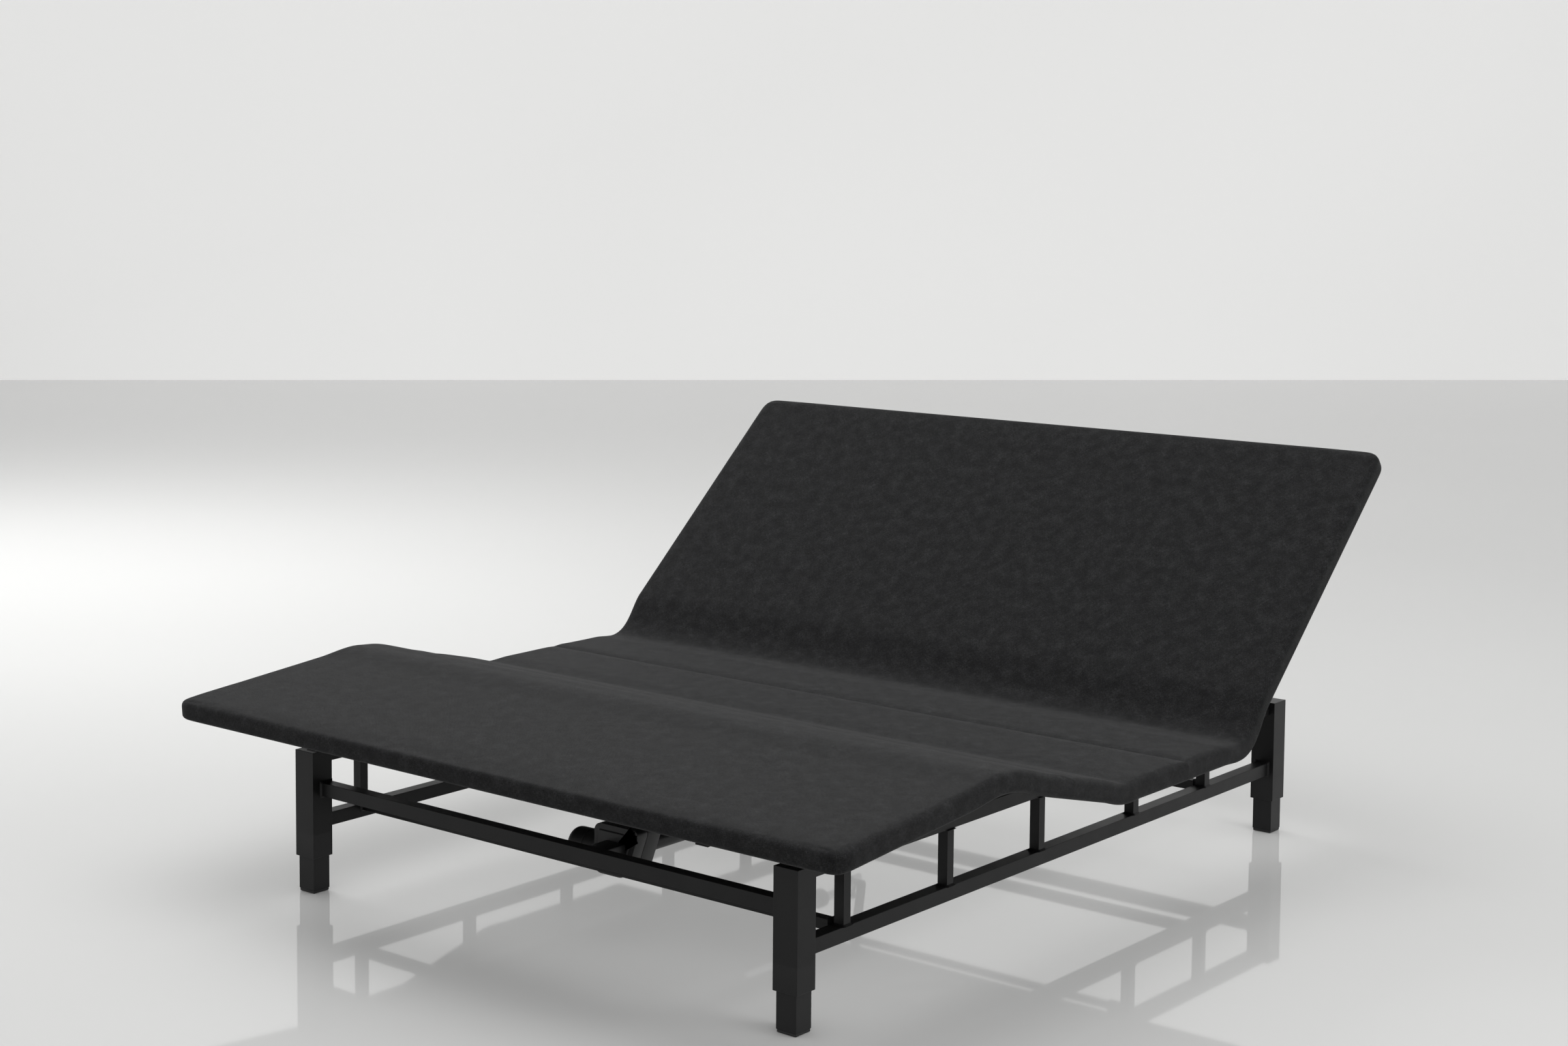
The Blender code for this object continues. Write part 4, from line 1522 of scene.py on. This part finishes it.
@dataclass
class ControlBox:
    """The control box under the seat: tray and lid, sockets, mains inlet and fixing ears."""

    finishes: Finishes
    fasteners: Fasteners
    seam_share: float = 0.55
    seam_gap: float = 0.0006
    seam_depth: float = 0.002
    sockets: int = 4
    socket_height: float = 0.011
    inlet_hole: Point = (0.018, 0.0275, 0.0195)
    ear: Point = (0.022, 0.016, 0.0032)
    ear_reach: float = 0.006
    ear_y: float = 0.05
    base_screws: Tuple[float, float] = (0.052, 0.072)

    def shells(self, low: Vector, high: Vector, inlet: Vector) -> List[Piece]:
        """Model the tray, the lid and the core behind their seam, open at the inlet.

        Args:
            low: the box's lowest corner.
            high: its highest corner.
            inlet: the middle of the inlet.

        Returns:
            The three shells.
        """
        (x, y, _), size = (low + high) / 2, high - low
        seam, gap, core = low.z + size.z * self.seam_share, self.seam_gap, 2 * self.seam_depth
        made = [
            Bench.box("tray", (x, y, (low.z + seam - gap) / 2), (size.x, size.y, seam - low.z - gap)),
            Bench.box("lid", (x, y, (high.z + seam + gap) / 2), (size.x, size.y, high.z - seam - gap)),
            Bench.box("core", (x, y, seam), (size.x - core, size.y - core, 0.006)),
        ]
        for shell in made[:2]:
            Bench.round_edges(shell, 0.006, 5, along=2)
        for shell in made:
            hole = Bench.box("hole", inlet, self.inlet_hole)
            Bench.cut(shell, Bench.round_edges(hole, 0.003, 3, along=0))
        return made

    def open_sockets(self, tray: Piece, low: Vector, width: float) -> List[Piece]:
        """Cut a row of sockets for leads into the tray.

        Args:
            tray: the tray.
            low: the box's lowest corner.
            width: the box's width.

        Returns:
            The sockets' pins.
        """
        pins, z = [], low.z + self.socket_height
        for number in range(self.sockets):
            x = low.x + width * (number + 0.8) / (self.sockets + 0.6)
            tool = Bench.box("socket", (x, low.y, z), (0.013, 0.014, 0.010))
            Bench.cut(tray, Bench.round_edges(tool, 0.0012, 2, along=1))
            for side in (-0.003, 0.0, 0.003):
                pin = Bench.box("pin", (x + side, low.y + 0.004, z), (0.0008, 0.006, 0.0008))
                pins.append(Bench.soften(pin, 0.0001))
        return pins

    def build(self) -> Piece:
        """Model the box in place of its plain node.

        Returns:
            The piece.
        """
        low, high = (Vector(corner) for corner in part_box("control_box"))
        middle, size = (low + high) / 2, high - low
        inlet = Vector((high.x, middle.y + size.y / 4, middle.z))
        shells = self.shells(low, high, inlet)
        parts = self.open_sockets(shells[0], low, size.x)
        Bench.pick(shells[0], faces=Bench.facing(0, 0, -1))
        bpy.ops.mesh.inset(thickness=0.012)
        bpy.ops.mesh.inset(thickness=0.0012, depth=-0.0010)
        parts += [Bench.soften(shell, 0.0009) for shell in shells]
        for dy, dz in ((-0.007, -0.002), (0.007, -0.002), (0.0, 0.004)):
            blade = Bench.box("blade", (high.x - 0.005, inlet.y + dy, inlet.z + dz), (0.008, 0.0018, 0.004))
            parts.append(Bench.soften(blade, 0.0003))
        left, right = low.x - self.ear_reach, high.x + self.ear_reach
        ears = [(left, middle.y - self.ear_y), (left, middle.y + self.ear_y), (right, middle.y - self.ear_y)]
        for x, y in ears:
            ear = Bench.box("ear", (x, y, high.z - 0.0017), self.ear)
            parts.append(Bench.soften(Bench.round_edges(ear, 0.006, 4, along=2), 0.0006))
        piece = Bench.join("control_unit", parts)
        Bench.dress(piece, self.finishes.box, Section.BASE, Slot.PLASTIC, ("control_box",))
        model = self.fasteners.screw(0.0040, 0.0024)
        spots = [(x + math.copysign(0.003, x - middle.x), y, high.z - self.ear[2]) for x, y in ears]
        for a in (-1, 1):
            for b in (-1, 1):
                x, y = middle.x + a * self.base_screws[0], middle.y + b * self.base_screws[1]
                spots.append((x, y, low.z + 0.0003))
        self.fasteners.scatter("control_unit_screws", model, [(spot, (0, 0, -1)) for spot in spots])
        Bench.drop(model)
        return piece


@dataclass
class Stitching:
    """Rows of raised stitches beside the deck's cross seams."""

    finishes: Finishes
    pitch: float = 0.0075
    length: float = 0.0052
    radius: float = 0.00075
    offset: float = 0.0065
    row_length: float = 1.47
    height: float = 0.0496

    def stitch(self) -> Piece:
        """One stitch along X, pulled down at its ends.

        Returns:
            The model.
        """
        half = self.length / 2
        made = Bench.rod("stitch", (-half, 0, 0), (half, 0, 0), self.radius, 6)
        Bench.pick(made, faces=lambda face: True)
        for x in (-half * 0.45, half * 0.45):
            bpy.ops.mesh.select_all(action="SELECT")
            bpy.ops.mesh.bisect(plane_co=(x, 0, 0), plane_no=(1, 0, 0))
        Bench.clear()
        for vert in made.data.vertices:
            if abs(vert.co.x) > half * 0.9:
                vert.co.z -= self.radius * 1.3
        return made

    def rows(self, name: str, fold: Fold, middle: float, body: Section) -> None:
        """Sew a row of stitches on each side of a seam.

        Args:
            name: the piece's name.
            fold: the hinge whose flat lengths are used.
            middle: flat distance of the seam from the hinge.
            body: the body the rows ride on.
        """
        model = self.stitch()
        points = np.array([v.co for v in model.data.vertices])
        faces = [list(p.vertices) for p in model.data.polygons]
        Bench.drop(model)
        verts, polygons = [], []
        count = int(self.row_length / self.pitch)
        for s in (middle - self.offset, middle + self.offset):
            for number in range(count):
                base = len(verts) * len(points)
                verts.append(points + np.array(((number - (count - 1) / 2) * self.pitch, s, self.height)))
                polygons += [[index + base for index in face] for face in faces]
        flat = np.concatenate(verts)
        mesh = bpy.data.meshes.new(name)
        mesh.from_pydata(fold.place(flat).tolist(), [], polygons)
        cloth = mesh.uv_layers.new(name="cloth")
        for loop in mesh.loops:
            cloth.data[loop.index].uv = flat[loop.vertex_index][:2]
        if fold.way < 0:
            mesh.flip_normals()
        piece = bpy.data.objects.new(name, mesh)
        bpy.context.scene.collection.objects.link(piece)
        Bench.hold(piece)
        bpy.ops.object.shade_smooth()
        Bench.clear()
        Bench.dress(piece, self.finishes.thread, body, Slot.FABRIC)

    def build(self) -> None:
        """Sew the rows in the middle of the seat and of the thigh section."""
        self.rows("seat_stitches", THIGH_FOLD, -SEAT_HALF, Section.BASE)
        self.rows("thigh_stitches", THIGH_FOLD, THIGH_HALF, Section.THIGH)


# ---------------------------------------------------------------- studio


@dataclass
class Studio:
    """Floor, backdrop, lights and camera."""

    eye: Point = (2.8924, -3.8776, 1.401)
    yaw: float = 42.724
    pitch: float = -4.814
    lens: float = 58.34
    sensor: float = 36.0
    shift: Tuple[float, float] = (0.16, -0.11)
    wall_distance: float = 14.6
    wall_height: float = 12.0
    extent: float = 60.0
    glow: float = 0.32
    air: float = 0.75

    def camera(self) -> None:
        """Stand the camera up."""
        data = bpy.data.cameras.new("camera")
        data.lens, data.sensor_width = self.lens, self.sensor
        data.shift_x, data.shift_y = self.shift
        data.clip_start, data.clip_end = 0.05, 100.0
        camera = bpy.data.objects.new("camera", data)
        camera.location = self.eye
        camera.rotation_euler = Euler((math.radians(90 + self.pitch), 0, math.radians(self.yaw)))
        bpy.context.scene.collection.objects.link(camera)
        bpy.context.scene.camera = camera

    @staticmethod
    def sheet(name: str, finish: Material, scale: Point, **place: object) -> Piece:
        """Lay one large plane.

        Args:
            name: its name.
            finish: its material.
            scale: its width and height.
            **place: its location and rotation.

        Returns:
            The plane.
        """
        Bench.clear()
        bpy.ops.mesh.primitive_plane_add(size=1, **place)
        bpy.context.object.scale = scale
        made = Bench.settle(name)
        Bench.pick(made, faces=lambda face: True)
        bpy.ops.mesh.subdivide(number_cuts=3)
        Bench.clear()
        made.data.materials.append(finish)
        return made

    def ground(self) -> None:
        """Lay the glossy floor and raise the backdrop behind it."""
        gloss = PlainGround("gloss_floor", grey(0.49, -0.005), grey(0.53, -0.005), 0.035, 0.05, 0.40).make()
        matt = PlainGround("matt_backdrop", grey(0.78, -0.005), grey(0.82, -0.005), 0.8, 0.9, 0.2).make()
        floor = self.sheet("studio_floor", gloss, (self.extent, self.extent, 1), location=(0, 0, 0))
        yaw = math.radians(self.yaw)
        ahead = Vector((-math.sin(yaw), math.cos(yaw), 0)) * self.wall_distance
        middle = Vector((self.eye[0], self.eye[1], self.wall_height / 2)) + ahead
        size, turn = (self.extent, self.wall_height, 1), (math.radians(90), 0, yaw)
        wall = self.sheet("studio_backdrop", matt, size, location=middle, rotation=turn)
        shader = matt.node_tree.nodes["Principled BSDF"]
        shader.inputs["Emission Color"].default_value = (0.80, 0.80, 0.79, 1.0)
        shader.inputs["Emission Strength"].default_value = self.glow

    @staticmethod
    def lamp(name: str, place: Point, aim: Point, size: Tuple[float, float], power: float) -> None:
        """Hang a soft rectangular light.

        Args:
            name: the light's name.
            place: where it hangs.
            aim: what it points at.
            size: its width and height.
            power: its power in watts.
        """
        data = bpy.data.lights.new(name, "AREA")
        data.shape = "RECTANGLE"
        data.size, data.size_y, data.energy = size[0], size[1], power
        lamp = bpy.data.objects.new(name, data)
        lamp.visible_glossy = lamp.visible_camera = False
        lamp.location = place
        lamp.rotation_euler = (Vector(aim) - Vector(place)).to_track_quat("-Z", "Y").to_euler()
        bpy.context.scene.collection.objects.link(lamp)

    def lights(self) -> None:
        """Light the room softly."""
        world = bpy.data.worlds.new("studio_air")
        world.use_nodes = True
        air = world.node_tree.nodes["Background"]
        air.inputs["Color"].default_value = (1.0, 1.0, 1.0, 1.0)
        air.inputs["Strength"].default_value = self.air
        bpy.context.scene.world = world
        self.lamp("overhead", (0.3, -0.4, 4.2), (0, 0, 0), (4.5, 4.5), 90)
        self.lamp("floor_fill", (0.05, 0.05, 0.112), (0.05, 0.05, 0.0), (1.25, 1.75), 4.9)
        self.lamp("left_wash", (-4.2, 0.6, 2.4), (-3.2, 0.6, 0.0), (3.0, 3.0), 120)
        self.lamp("right_fill", (4.6, 0.6, 2.4), (0.6, 0.3, 0.2), (2.5, 2.0), 70)

    def build(self) -> None:
        """Set the whole studio."""
        self.camera()
        self.ground()
        self.lights()
        bpy.context.scene.view_settings.view_transform = "Standard"


def main() -> None:
    """Build the studio, the frame's finishes, the deck and the fittings."""
    logging.basicConfig(level=logging.INFO, format="%(message)s")
    Studio().build()
    finishes = Finishes()
    SteelFrame(finishes).build()
    Deck(finishes).build()
    Stitching(finishes).build()
    fasteners = Fasteners(finishes)
    fasteners.build()
    for node in ("leg_actuator_housing", "head_actuator_housing"):
        Actuator(node, finishes, fasteners).build()
    ControlBox(finishes, fasteners).build()


if __name__ == "__main__":
    main()
